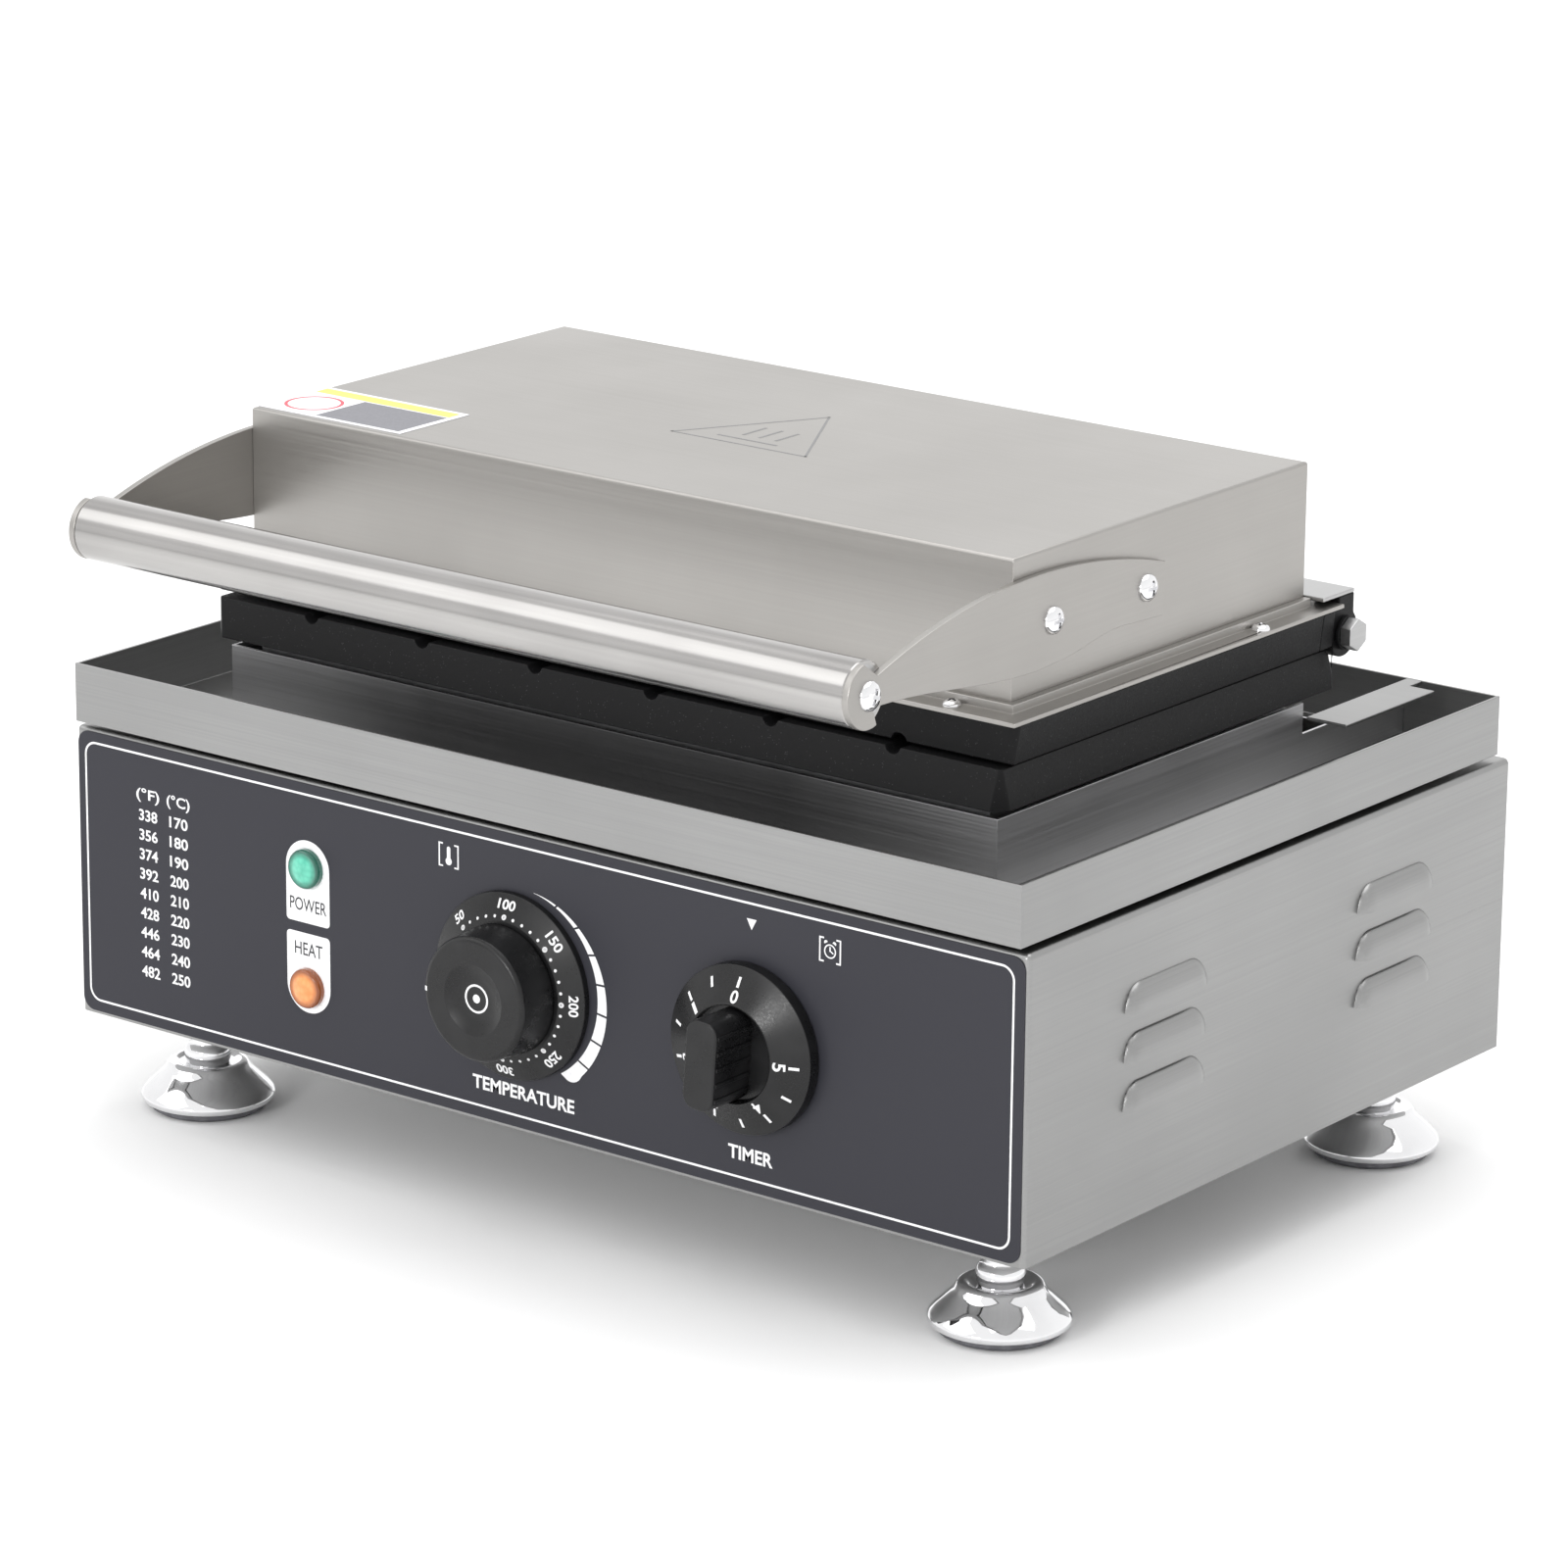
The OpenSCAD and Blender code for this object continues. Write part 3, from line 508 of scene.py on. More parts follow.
@dataclass(frozen=True)
class LampLens(Finish):
    """Translucent coloured lens: painted light makes its flat middle paler and painted shade makes its
    bevelled rim deeper.
    """

    centre: tuple[float, float, float]

    def dress(self, s: Shade) -> None:
        """Makes the lens; its colour depends on the distance from its own axis, as painted light in the
        middle and painted shade on the rim.

        Args:
            s: The shader tree.
        """
        node = s.tree.nodes.new("ShaderNodeMapping")
        node.vector_type = "POINT"
        node.inputs["Location"].default_value = [-c for c in self.centre]
        s.join(s.coords.outputs["Object"], node.inputs["Vector"])
        split = s.tree.nodes.new("ShaderNodeSeparateXYZ")
        s.join(node.outputs["Vector"], split.inputs[0])
        wide, tall = (s.math("POWER", s.math("ABSOLUTE", split.outputs[i]), 2.0) for i in (0, 2))
        radius = s.math("SQRT", s.math("ADD", wide, tall))
        facets = s.cells(520.0)
        # Painted light: the flat middle is paler, dappled by the lens's facets.
        painted_light_middle = self.toned(1.5, 0.10)
        painted_shade_rim = self.toned(0.35)
        # Painted shade: from 4.0 to 6.2 mm out the colour deepens to 0.35 of the lens's own.
        rim = s.span(radius, 0.0040, 0.0062, 0.0, 1.0)
        face = s.blend(s.span(facets, 0.2, 0.9, 0.0, 0.5), painted_light_middle, self.color)
        s.color(s.blend(rim, face, painted_shade_rim))
        s.put(Roughness=0.12, Transmission_Weight=0.15, Coat_Weight=0.6, Coat_Roughness=0.04)
        s.bump(facets, 0.15, 0.0003)


@dataclass(frozen=True)
class Rubber(Finish):
    """Moulded rubber with random paler dusty patches."""


    def dress(self, s: Shade) -> None:
        """Makes the rubber.

        Args:
            s: The shader tree.
        """
        dust = s.even(180.0, 4.0, 0.6)
        pale = self.toned(1.5, 0.02)
        s.color(s.blend(s.span(dust, 0.45, 0.7, 0, 1), self.color, pale))
        s.rough(s.span(dust, 0.3, 0.7, 0.55, 0.75))
        s.bump(dust, 0.2, 0.0001)


@dataclass(frozen=True)
class Ink(Finish):
    """Screen-printed ink, a little uneven; its dark grey for the lid's pressed mark is painted shade."""


    def dress(self, s: Shade) -> None:
        """Makes the ink.

        Args:
            s: The shader tree.
        """
        cover = s.even(900.0, 2.0)
        thin = self.toned(0.9)
        s.color(s.blend(s.span(cover, 0.35, 0.65, 0, 1), self.color, thin))
        s.put(Roughness=0.5, Specular_IOR_Level=0.35)
        s.bump(cover, 0.05, 0.00003)


@dataclass(frozen=True)
class Fibre(Finish):
    """Mineral wool or woven glass sleeve: a fibrous, rough surface."""

    scale: float = 300.0

    def dress(self, s: Shade) -> None:
        """Makes the fibres.

        Args:
            s: The shader tree.
        """
        strands = s.noise(s.mapped((self.scale, self.scale * 5, self.scale)), 1.0, 4.0, 0.7)
        dark = self.toned(0.7)
        s.color(s.blend(strands, dark, self.color))
        s.put(Roughness=0.9)
        s.bump(strands, 0.6, 0.0004)


@dataclass(frozen=True)
class Moulded(Finish):
    """Plain hidden mouldings, ceramics and sheaths, with a light texture."""

    roughness: float = 0.5
    metallic: float = 0.0

    def dress(self, s: Shade) -> None:
        """Makes the material.

        Args:
            s: The shader tree.
        """
        skin = s.even(700.0, 3.0)
        stain = s.even(40.0, 3.0)
        dim = self.toned(0.82)
        s.color(s.blend(s.span(stain, 0.35, 0.7, 0, 1), self.color, dim))
        s.rough(s.span(skin, 0.3, 0.7, self.roughness - 0.06, self.roughness + 0.08))
        s.put(Metallic=self.metallic)
        s.bump(skin, 0.15, 0.0001)


def in_metres(x: float, y: float, z: float) -> tuple[float, float, float]:
    """`at` as a plain tuple, for a finish's fields."""
    return tuple(at(x, y, z))


FINISHES: dict[str, Finish] = {
    "body_steel": BrushedSteel("BodySteel", (0.325, 0.325, 0.323), 0.33),
    "lid_steel": BrushedSteel("LidSteel", (0.396, 0.383, 0.366), 0.38, streak=0.05),
    "tray_steel": BrushedSteel("TraySteel", (0.325, 0.325, 0.323), 0.33),
    # Paler than the body's steel and darkened towards its middle: painted reflection, the dark middle for the
    # dark plates mirrored in the skirt and the pale ends for the bright studio.
    "skirt_steel": BrushedSteel(
        "SkirtSteel", (0.62, 0.62, 0.63), 0.36, depth=0.15, mottle=0.12, middle_shade=0.86
    ),
    "plain_steel": BrushedSteel("PlainSteel", (0.45, 0.45, 0.45), 0.33, Grain.ALONG_Y),
    "overlay": PrintedFilm("OverlayFilm", (0.033, 0.033, 0.041), 0.42, specular=0.22),
    "cast_coated": CastCoating("CastCoating", (0.0075, 0.0075, 0.008)),
    "cast_bare": Moulded("CastBare", (0.30, 0.30, 0.31), 0.5, 1.0),
    "knob_plastic": Phenolic("KnobPlastic", (0.007, 0.007, 0.0075), 0.3),
    "lamp_green": LampLens("LampGreen", (0.02, 0.36, 0.24), in_metres(LAMP_X, 0, 73.8)),
    "lamp_orange": LampLens("LampOrange", (0.85, 0.20, 0.02), in_metres(LAMP_X, 0, 31.0)),
    "chrome": Plated("ChromePlate", (0.86, 0.86, 0.87), 0.05),
    "polished_steel": PolishedTube("PolishedTube", (0.47, 0.46, 0.45), 0.17),
    "pad_rubber": Rubber("PadRubber", (0.10, 0.10, 0.11)),
    "insulation": Fibre("MineralWool", (0.62, 0.57, 0.42), 260.0),
    "heater_sheath": Moulded("HeaterSheath", (0.20, 0.21, 0.16), 0.5, 0.8),
    "mechanism_case": Moulded("MechanismCase", (0.30, 0.18, 0.09), 0.5),
    "copper": Moulded("CopperTube", (0.72, 0.40, 0.24), 0.3, 1.0),
    "terminal_ceramic": Moulded("TerminalCeramic", (0.72, 0.70, 0.62), 0.25),
    "wire_sleeve": Fibre("WireSleeve", (0.38, 0.05, 0.04), 600.0),
    "gland_plastic": Moulded("GlandNylon", (0.02, 0.02, 0.02), 0.45),
    "conduit_steel": BrushedSteel("ConduitSteel", (0.40, 0.40, 0.40), 0.35, Grain.ALONG_Y, 0.1),
    "label_film": PrintedFilm("LabelFilm", (0.80, 0.80, 0.83), 0.3, 0.03, 0.4),
}
INKS: dict[str, Finish] = {
    "white": Ink("InkWhite", (0.86, 0.86, 0.87)),
    "badge": Ink("InkBadge", (0.90, 0.90, 0.91)),
    "dark": Ink("InkDark", (0.035, 0.035, 0.04)),
    "yellow": Ink("InkYellow", (0.80, 0.69, 0.16)),
    "grey": Ink("InkGrey", (0.20, 0.20, 0.22)),
    "red": Ink("InkRed", (0.62, 0.10, 0.13)),
    # Painted shade: a flat dark grey laid on the lid's top for the shade in its pressed lines.
    "pressed": Ink("PressedMark", (0.20, 0.20, 0.20)),
}
_made: dict[str, bpy.types.Material] = {}


def material(key: str) -> bpy.types.Material:
    """The material of a record slot or an ink, made once.

    Args:
        key: The slot's or the ink's name.

    Returns:
        The material.
    """
    if key not in _made:
        _made[key] = (FINISHES.get(key) or INKS[key]).build()
    return _made[key]


# ---------------------------------------------------------------- mesh tools


def new_object(name: str, mesh: bpy.types.Mesh) -> Piece:
    """Links an object for a mesh into the scene.

    Returns:
        The object.
    """
    obj = bpy.data.objects.new(name, mesh)
    bpy.context.scene.collection.objects.link(obj)
    return obj


def from_bmesh(name: str, bm: bmesh.types.BMesh, tidy: bool = True) -> Piece:
    """Turns a bmesh into an object, with doubles merged and normals outwards.

    Returns:
        The object.
    """
    if tidy:
        bmesh.ops.remove_doubles(bm, verts=bm.verts, dist=1e-6)
        bmesh.ops.recalc_face_normals(bm, faces=bm.faces)
    mesh = bpy.data.meshes.new(name)
    bm.to_mesh(mesh)
    bm.free()
    return new_object(name, mesh)


def box_object(name: str, low: Vector, high: Vector) -> Piece:
    """A box as an object, used as a cutter or as the start of a sheet part.

    Returns:
        The object.
    """
    bm = bmesh.new()
    size, middle = high - low, (high + low) / 2
    for v in bmesh.ops.create_cube(bm, size=1.0)["verts"]:
        v.co = Vector((v.co.x * size.x, v.co.y * size.y, v.co.z * size.z)) + middle
    return from_bmesh(name, bm)


def prism(name: str, outline: Outline, depth: float, place: Matrix) -> Piece:
    """An extruded outline: the outline in the XY plane, grown along +Z, then placed.

    Args:
        name: The object's name.
        outline: Points in millimetres, counter-clockwise.
        depth: Height in millimetres.
        place: Where it goes, in metres.

    Returns:
        The object.
    """
    bm = bmesh.new()
    low = [bm.verts.new((x / 1000, y / 1000, 0)) for x, y in outline]
    high = [bm.verts.new((x / 1000, y / 1000, depth / 1000)) for x, y in outline]
    bm.faces.new(list(reversed(low)))
    bm.faces.new(high)
    for i in range(len(low)):
        j = (i + 1) % len(low)
        bm.faces.new((low[i], low[j], high[j], high[i]))
    bm.transform(place)
    return from_bmesh(name, bm)


def lathe(
    name: str,
    profile: Outline,
    place: Matrix,
    steps: int = 96,
    closed: bool = False,
) -> Piece:
    """A turned shape: (radius, height) points spun round Z, then placed.

    Args:
        name: The object's name.
        profile: Points in millimetres, from the bottom to the top.
        place: Where it goes, in metres.
        steps: Number of steps round.
        closed: Whether the profile is a ring that closes on itself.

    Returns:
        The object.
    """
    bm = bmesh.new()
    rings = []
    for radius, height in profile:
        if radius < 1e-6:
            rings.append([bm.verts.new((0, 0, height / 1000))])
            continue
        rings.append(
            [
                bm.verts.new(
                    (
                        radius / 1000 * math.cos(2 * math.pi * i / steps),
                        radius / 1000 * math.sin(2 * math.pi * i / steps),
                        height / 1000,
                    )
                )
                for i in range(steps)
            ]
        )
    pairs = list(zip(rings, rings[1:]))
    if closed:
        pairs.append((rings[-1], rings[0]))
    for first, second in pairs:
        for i in range(steps):
            j = (i + 1) % steps
            a, b = first[i % len(first)], first[j % len(first)]
            c, d = second[j % len(second)], second[i % len(second)]
            corners = []
            for v in (a, b, c, d):
                if v not in corners:
                    corners.append(v)
            if len(corners) > 2:
                bm.faces.new(corners)
    if not closed:
        for ring in (rings[0], rings[-1]):
            if len(ring) > 1:
                bm.faces.new(ring)
    bm.transform(place)
    return from_bmesh(name, bm)


def arc(cx: float, cy: float, r: float, start: float, end: float, steps: int) -> Outline:
    """Points on an arc, angles in degrees."""
    angles = [math.radians(start + (end - start) * i / steps) for i in range(steps + 1)]
    return [(cx + r * math.cos(a), cy + r * math.sin(a)) for a in angles]


def round_rect(x0: float, y0: float, x1: float, y1: float, r: float, steps: int = 8) -> Outline:
    """A rectangle with round corners, counter-clockwise from the lower right corner."""
    corners = ((x1 - r, y0 + r, -90), (x1 - r, y1 - r, 0), (x0 + r, y1 - r, 90), (x0 + r, y0 + r, 180))
    return [p for cx, cy, a in corners for p in arc(cx, cy, r, a, a + 90, steps)]


def cad_copy(node: str, name: str, whole: bool = True) -> Piece:
    """A merged copy of a CAD node.

    Args:
        node: The CAD node.
        name: The copy's name.
        whole: Whether its flat faces are made whole again, ready for a bevel.

    Returns:
        The object.
    """
    bm = bmesh.new()
    bm.from_mesh(frame["nodes"][node].data)
    bmesh.ops.remove_doubles(bm, verts=bm.verts, dist=2e-6)
    if whole:
        bmesh.ops.dissolve_limit(
            bm, angle_limit=math.radians(0.6), verts=bm.verts, edges=bm.edges, use_dissolve_boundaries=False
        )
    return from_bmesh(name, bm, tidy=False)


def add_bevel(obj: Piece, width: float, segments: int = 2, angle: float = 35.0, clamp: bool = False) -> Piece:
    """Rounds an object's edges that are sharper than an angle.

    Args:
        obj: The object.
        width: The bevel's width in millimetres.
        segments: Number of steps.
        angle: Sharpness limit in degrees.
        clamp: Whether overlaps are held back.

    Returns:
        The same object.
    """
    mod = obj.modifiers.new("Bevel", "BEVEL")
    mod.width = width / 1000
    mod.segments = segments
    mod.limit_method = "ANGLE"
    mod.angle_limit = math.radians(angle)
    mod.use_clamp_overlap = clamp
    mod.miter_outer = "MITER_ARC" if segments > 1 else "MITER_SHARP"
    return obj


def round_edges(
    obj: Piece, chosen: Callable[[bmesh.types.BMEdge], bool], width: float, segments: int
) -> None:
    """Rounds the chosen edges of a plain mesh.

    Args:
        obj: The object.
        chosen: Says which edges are rounded.
        width: The width of the round in metres.
        segments: Number of steps.
    """
    bm = bmesh.new()
    bm.from_mesh(obj.data)
    edges = [edge for edge in bm.edges if chosen(edge)]
    bmesh.ops.bevel(bm, geom=edges, offset=width, segments=segments, profile=0.5, affect="EDGES")
    bm.to_mesh(obj.data)
    bm.free()


def cut(obj: Piece, cutters: Iterable[Piece]) -> Piece:
    """Cuts other objects out of one, and removes them.

    Returns:
        The same object with a plain mesh.
    """
    tools = list(cutters)
    for tool in tools:
        mod = obj.modifiers.new("Cut", "BOOLEAN")
        mod.operation = "DIFFERENCE"
        mod.solver = "EXACT"
        mod.object = tool
    apply_all(obj)
    for tool in tools:
        bpy.data.objects.remove(tool)
    return obj


def apply_all(obj: Piece) -> Piece:
    """Replaces an object's mesh by the evaluated one and drops its modifiers.

    Returns:
        The same object.
    """
    graph = bpy.context.evaluated_depsgraph_get()
    mesh = bpy.data.meshes.new_from_object(obj.evaluated_get(graph), depsgraph=graph)
    old = obj.data
    obj.modifiers.clear()
    obj.data = mesh
    if isinstance(old, bpy.types.Mesh) and old.users == 0:
        bpy.data.meshes.remove(old)
    return obj


def merge(name: str, parts: Sequence[Piece]) -> Piece:
    """Joins plain-mesh objects into one, and removes them.

    Returns:
        The joined object, with the first part's materials.
    """
    bm = bmesh.new()
    for part in parts:
        bm.from_mesh(part.data)
    mesh = bpy.data.meshes.new(name)
    bm.to_mesh(mesh)
    bm.free()
    for mat in parts[0].data.materials:
        mesh.materials.append(mat)
    for part in parts:
        bpy.data.objects.remove(part)
    return new_object(name, mesh)


def finish_piece(
    obj: Piece,
    key: str,
    body: str = "base",
    nodes: Sequence[str] = (),
    smooth: float = 32.0,
) -> Piece:
    """Gives a piece its finish, body and CAD nodes, and reports it.

    Args:
        obj: The piece; its modifiers are applied.
        key: Its finish, which is also the record's material slot unless it is an ink.
        body: The CAD body it rides on.
        nodes: CAD nodes that it replaces.
        smooth: Edges sharper than this many degrees stay sharp.

    Returns:
        The finished piece.
    """
    if obj.modifiers:
        apply_all(obj)
    mesh = obj.data
    mesh.materials.clear()
    mesh.materials.append(material(key))
    mesh.polygons.foreach_set("material_index", [0] * len(mesh.polygons))
    mesh.shade_smooth()
    mesh.set_sharp_from_angle(angle=math.radians(smooth))
    mod = obj.modifiers.new("Normals", "WEIGHTED_NORMAL")
    mod.keep_sharp = True
    mod.weight = 100
    apply_all(obj)
    obj.data.name = obj.name
    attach(obj, body)
    if nodes:
        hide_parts(*nodes)
    LOG.info("%s: %d faces, %s, on %s", obj.name, len(obj.data.polygons), key, body)
    return obj


def from_cad(
    node: str, key: str, body: str = "base", bevel: float = 0.3, name: Optional[str] = None
) -> Piece:
    """A finished piece made from a CAD node's copy with rounded edges.

    Returns:
        The finished piece.
    """
    obj = cad_copy(node, name or node.title().replace("_", ""), bevel > 0)
    if bevel > 0:
        add_bevel(obj, bevel)
    return finish_piece(obj, key, body, [node])


# ---------------------------------------------------------------- geometry nodes


class NodeTree:
    """A Geometry Nodes tree with named inputs, built in the script."""

    def __init__(self, name: str) -> None:
        """Starts an empty tree.

        Args:
            name: The tree's name.
        """
        self.tree = bpy.data.node_groups.new(name, "GeometryNodeTree")
        self.ids: dict[str, str] = {}
        self.add_input("Geometry", "NodeSocketGeometry")
        self.add_input("Shape", "NodeSocketObject")
        self.add_input("Material", "NodeSocketMaterial")
        self.tree.interface.new_socket("Geometry", in_out="OUTPUT", socket_type="NodeSocketGeometry")
        self.source = self.tree.nodes.new("NodeGroupInput")
        self.sink = self.tree.nodes.new("NodeGroupOutput")

    def add_input(self, name: str, kind: str) -> None:
        """Adds a named input socket."""
        socket = self.tree.interface.new_socket(name, in_out="INPUT", socket_type=kind)
        self.ids[name] = socket.identifier

    def add(self, kind: str, **values: object) -> bpy.types.Node:
        """Adds a node, with properties set by name.

        Returns:
            The node.
        """
        node = self.tree.nodes.new(kind)
        for key, value in values.items():
            setattr(node, key, value)
        return node

    def link(self, source: Socket, target: Socket) -> None:
        """Links two sockets."""
        self.tree.links.new(source, target)

    def given(self, name: str) -> Socket:
        """The group input socket of that name."""
        return next(s for s in self.source.outputs if s.identifier == self.ids[name])

    def scatter(self, points: Socket, rotation: Optional[Socket] = None) -> None:
        """Instances the shape on points, realizes it, sets the material and joins the output.

        Args:
            points: The points.
            rotation: Each instance's turn, if it has one.
        """
        shape = self.add("GeometryNodeObjectInfo", transform_space="ORIGINAL")
        self.link(self.given("Shape"), shape.inputs["Object"])
        put = self.add("GeometryNodeInstanceOnPoints")
        self.link(points, put.inputs["Points"])
        self.link(shape.outputs["Geometry"], put.inputs["Instance"])
        if rotation is not None:
            self.link(rotation, put.inputs["Rotation"])
        realize = self.add("GeometryNodeRealizeInstances")
        setter = self.add("GeometryNodeSetMaterial")
        self.link(put.outputs[0], realize.inputs[0])
        self.link(realize.outputs[0], setter.inputs["Geometry"])
        self.link(self.given("Material"), setter.inputs["Material"])
        self.link(setter.outputs[0], self.sink.inputs[0])

    def run(self, host: Piece, shape: Piece, key: str, **values: object) -> Piece:
        """Applies the tree to an object, and removes the shape.

        Args:
            host: The object whose mesh goes in.
            shape: The shape that is repeated.
            key: The finish.
            values: The other inputs, named with underscores for spaces.

        Returns:
            The host with a plain mesh.
        """
        mod = host.modifiers.new(self.tree.name, "NODES")
        mod.node_group = self.tree
        for name, value in {"Shape": shape, "Material": material(key), **values}.items():
            mod[self.ids[name.replace("_", " ")]] = value
        host.update_tag()
        bpy.context.view_layer.update()
        made = apply_all(host)
        bpy.data.objects.remove(shape)
        return made


class GridOfShapes(NodeTree):
    """Instances a shape on a grid of points."""

    def __init__(self) -> None:
        """Builds the tree: one line of points on another, then instances."""
        super().__init__("GridOfShapes")
        for name in ("Start", "Step A", "Step B"):
            self.add_input(name, "NodeSocketVector")
        for name in ("Count A", "Count B"):
            self.add_input(name, "NodeSocketInt")
        rows = self.add("GeometryNodeMeshLine")
        cols = self.add("GeometryNodeMeshLine")
        self.link(self.given("Count A"), rows.inputs["Count"])
        self.link(self.given("Step A"), rows.inputs["Offset"])
        self.link(self.given("Start"), rows.inputs["Start Location"])
        self.link(self.given("Count B"), cols.inputs["Count"])
        self.link(self.given("Step B"), cols.inputs["Offset"])
        nest = self.add("GeometryNodeInstanceOnPoints")
        self.link(rows.outputs[0], nest.inputs["Points"])
        self.link(cols.outputs[0], nest.inputs["Instance"])
        flat = self.add("GeometryNodeRealizeInstances")
        self.link(nest.outputs[0], flat.inputs[0])
        self.scatter(flat.outputs[0])


class RingOfShapes(NodeTree):
    """Instances a shape round the -Y axis, turned by even steps."""

    def __init__(self) -> None:
        """Builds the tree: every instance sits on the axis and is turned by its index."""
        super().__init__("RingOfShapes")
        self.add_input("Centre", "NodeSocketVector")
        self.add_input("Count", "NodeSocketInt")
        self.add_input("First Angle", "NodeSocketFloat")
        self.add_input("Step Angle", "NodeSocketFloat")
        line = self.add("GeometryNodeMeshLine")
        self.link(self.given("Count"), line.inputs["Count"])
        self.link(self.given("Centre"), line.inputs["Start Location"])
        line.inputs["Offset"].default_value = (0, 0, 0)
        index = self.add("GeometryNodeInputIndex")
        times = self.add("ShaderNodeMath", operation="MULTIPLY_ADD")
        self.link(index.outputs[0], times.inputs[0])
        self.link(self.given("Step Angle"), times.inputs[1])
        self.link(self.given("First Angle"), times.inputs[2])
        turn = self.add("ShaderNodeCombineXYZ")
        self.link(times.outputs[0], turn.inputs["Y"])
        self.scatter(line.outputs[0], turn.outputs[0])


class ShapesOnPoints(NodeTree):
    """Instances a shape on the host's vertices, along the stored direction, turned by a seeded amount."""

    def __init__(self) -> None:
        """Builds the tree: +Z of the shape follows the attribute `facing`."""
        super().__init__("ShapesOnPoints")
        self.add_input("Seed", "NodeSocketInt")
        facing = self.add("GeometryNodeInputNamedAttribute", data_type="FLOAT_VECTOR")
        facing.inputs["Name"].default_value = "facing"
        align = self.add("FunctionNodeAlignRotationToVector", axis="Z")
        self.link(facing.outputs["Attribute"], align.inputs["Vector"])
        angle = self.add("FunctionNodeRandomValue", data_type="FLOAT")
        angle.inputs[2].default_value = 0.0
        angle.inputs[3].default_value = math.pi
        self.link(self.given("Seed"), angle.inputs["Seed"])
        spin = self.add("FunctionNodeAxisAngleToRotation")
        spin.inputs["Axis"].default_value = (0, 0, 1)
        self.link(angle.outputs[1], spin.inputs["Angle"])
        turn = self.add("FunctionNodeRotateRotation", rotation_space="LOCAL")
        self.link(align.outputs[0], turn.inputs["Rotation"])
        self.link(spin.outputs[0], turn.inputs["Rotate By"])
        self.scatter(self.given("Geometry"), turn.outputs[0])


class ShapesOnPath(NodeTree):
    """Instances a ring along the host's edges, at an even pitch and square to the path."""

    def __init__(self) -> None:
        """Builds the tree: mesh to curve, resampled, with instances along it."""
        super().__init__("ShapesOnPath")
        self.add_input("Pitch", "NodeSocketFloat")
        curve = self.add("GeometryNodeMeshToCurve")
        self.link(self.given("Geometry"), curve.inputs[0])
        points = self.add("GeometryNodeCurveToPoints", mode="LENGTH")
        self.link(curve.outputs[0], points.inputs["Curve"])
        self.link(self.given("Pitch"), points.inputs["Length"])
        self.scatter(points.outputs["Points"], points.outputs["Rotation"])


@dataclass
class Trees:
    """The Geometry Nodes trees, built once."""

    grid: GridOfShapes = field(default_factory=GridOfShapes)
    ring: RingOfShapes = field(default_factory=RingOfShapes)
    points: ShapesOnPoints = field(default_factory=ShapesOnPoints)
    path: ShapesOnPath = field(default_factory=ShapesOnPath)

    def host(self, name: str, spots: Sequence[tuple[Vector, Vector]] = ()) -> Piece:
        """An object of loose points with their directions, or an empty mesh.

        Args:
            name: The object's name.
            spots: Places and directions in the frame.

        Returns:
            The object.
        """
        mesh = bpy.data.meshes.new(name)
        mesh.from_pydata([tuple(p) for p, _ in spots] or [(0, 0, 0)], [], [])
        if spots:
            facing = mesh.attributes.new("facing", "FLOAT_VECTOR", "POINT")
            facing.data.foreach_set("vector", [c for _, d in spots for c in d])
        return new_object(name, mesh)

    def on_grid(
        self, name: str, shape: Piece, key: str, start: Vector, step_a: Vector, count_a: int, step_b: Vector,
        count_b: int
    ) -> Piece:
        """Repeats a shape on a grid and removes the shape.

        Returns:
            The plain-mesh object.
        """
        return self.grid.run(
            self.host(name), shape, key,
            Start=tuple(start), Step_A=tuple(step_a), Count_A=count_a, Step_B=tuple(step_b), Count_B=count_b,
        )

    def on_ring(
        self, name: str, shape: Piece, key: str, centre: Vector, count: int, first: float, step: float
    ) -> Piece:
        """Repeats a shape round a dial and removes the shape.

        Args:
            name: The result's name.
            shape: A shape placed at 3 o'clock of a dial centred on the origin.
            key: The finish.
            centre: The dial's centre.
            count: Number of shapes.
            first: First angle, in degrees, counter-clockwise seen from the front.
            step: Step in degrees.

        Returns:
            The plain-mesh object.
        """
        return self.ring.run(
            self.host(name), shape, key, Centre=tuple(centre), Count=count,
            First_Angle=-math.radians(first), Step_Angle=-math.radians(step),
        )

    def on_points(
        self, name: str, shape: Piece, key: str, spots: Sequence[tuple[Vector, Vector]], seed: int
    ) -> Piece:
        """Puts a shape on points with directions and removes the shape."""
        return self.points.run(self.host(name, spots), shape, key, Seed=seed)


# ---------------------------------------------------------------- prints


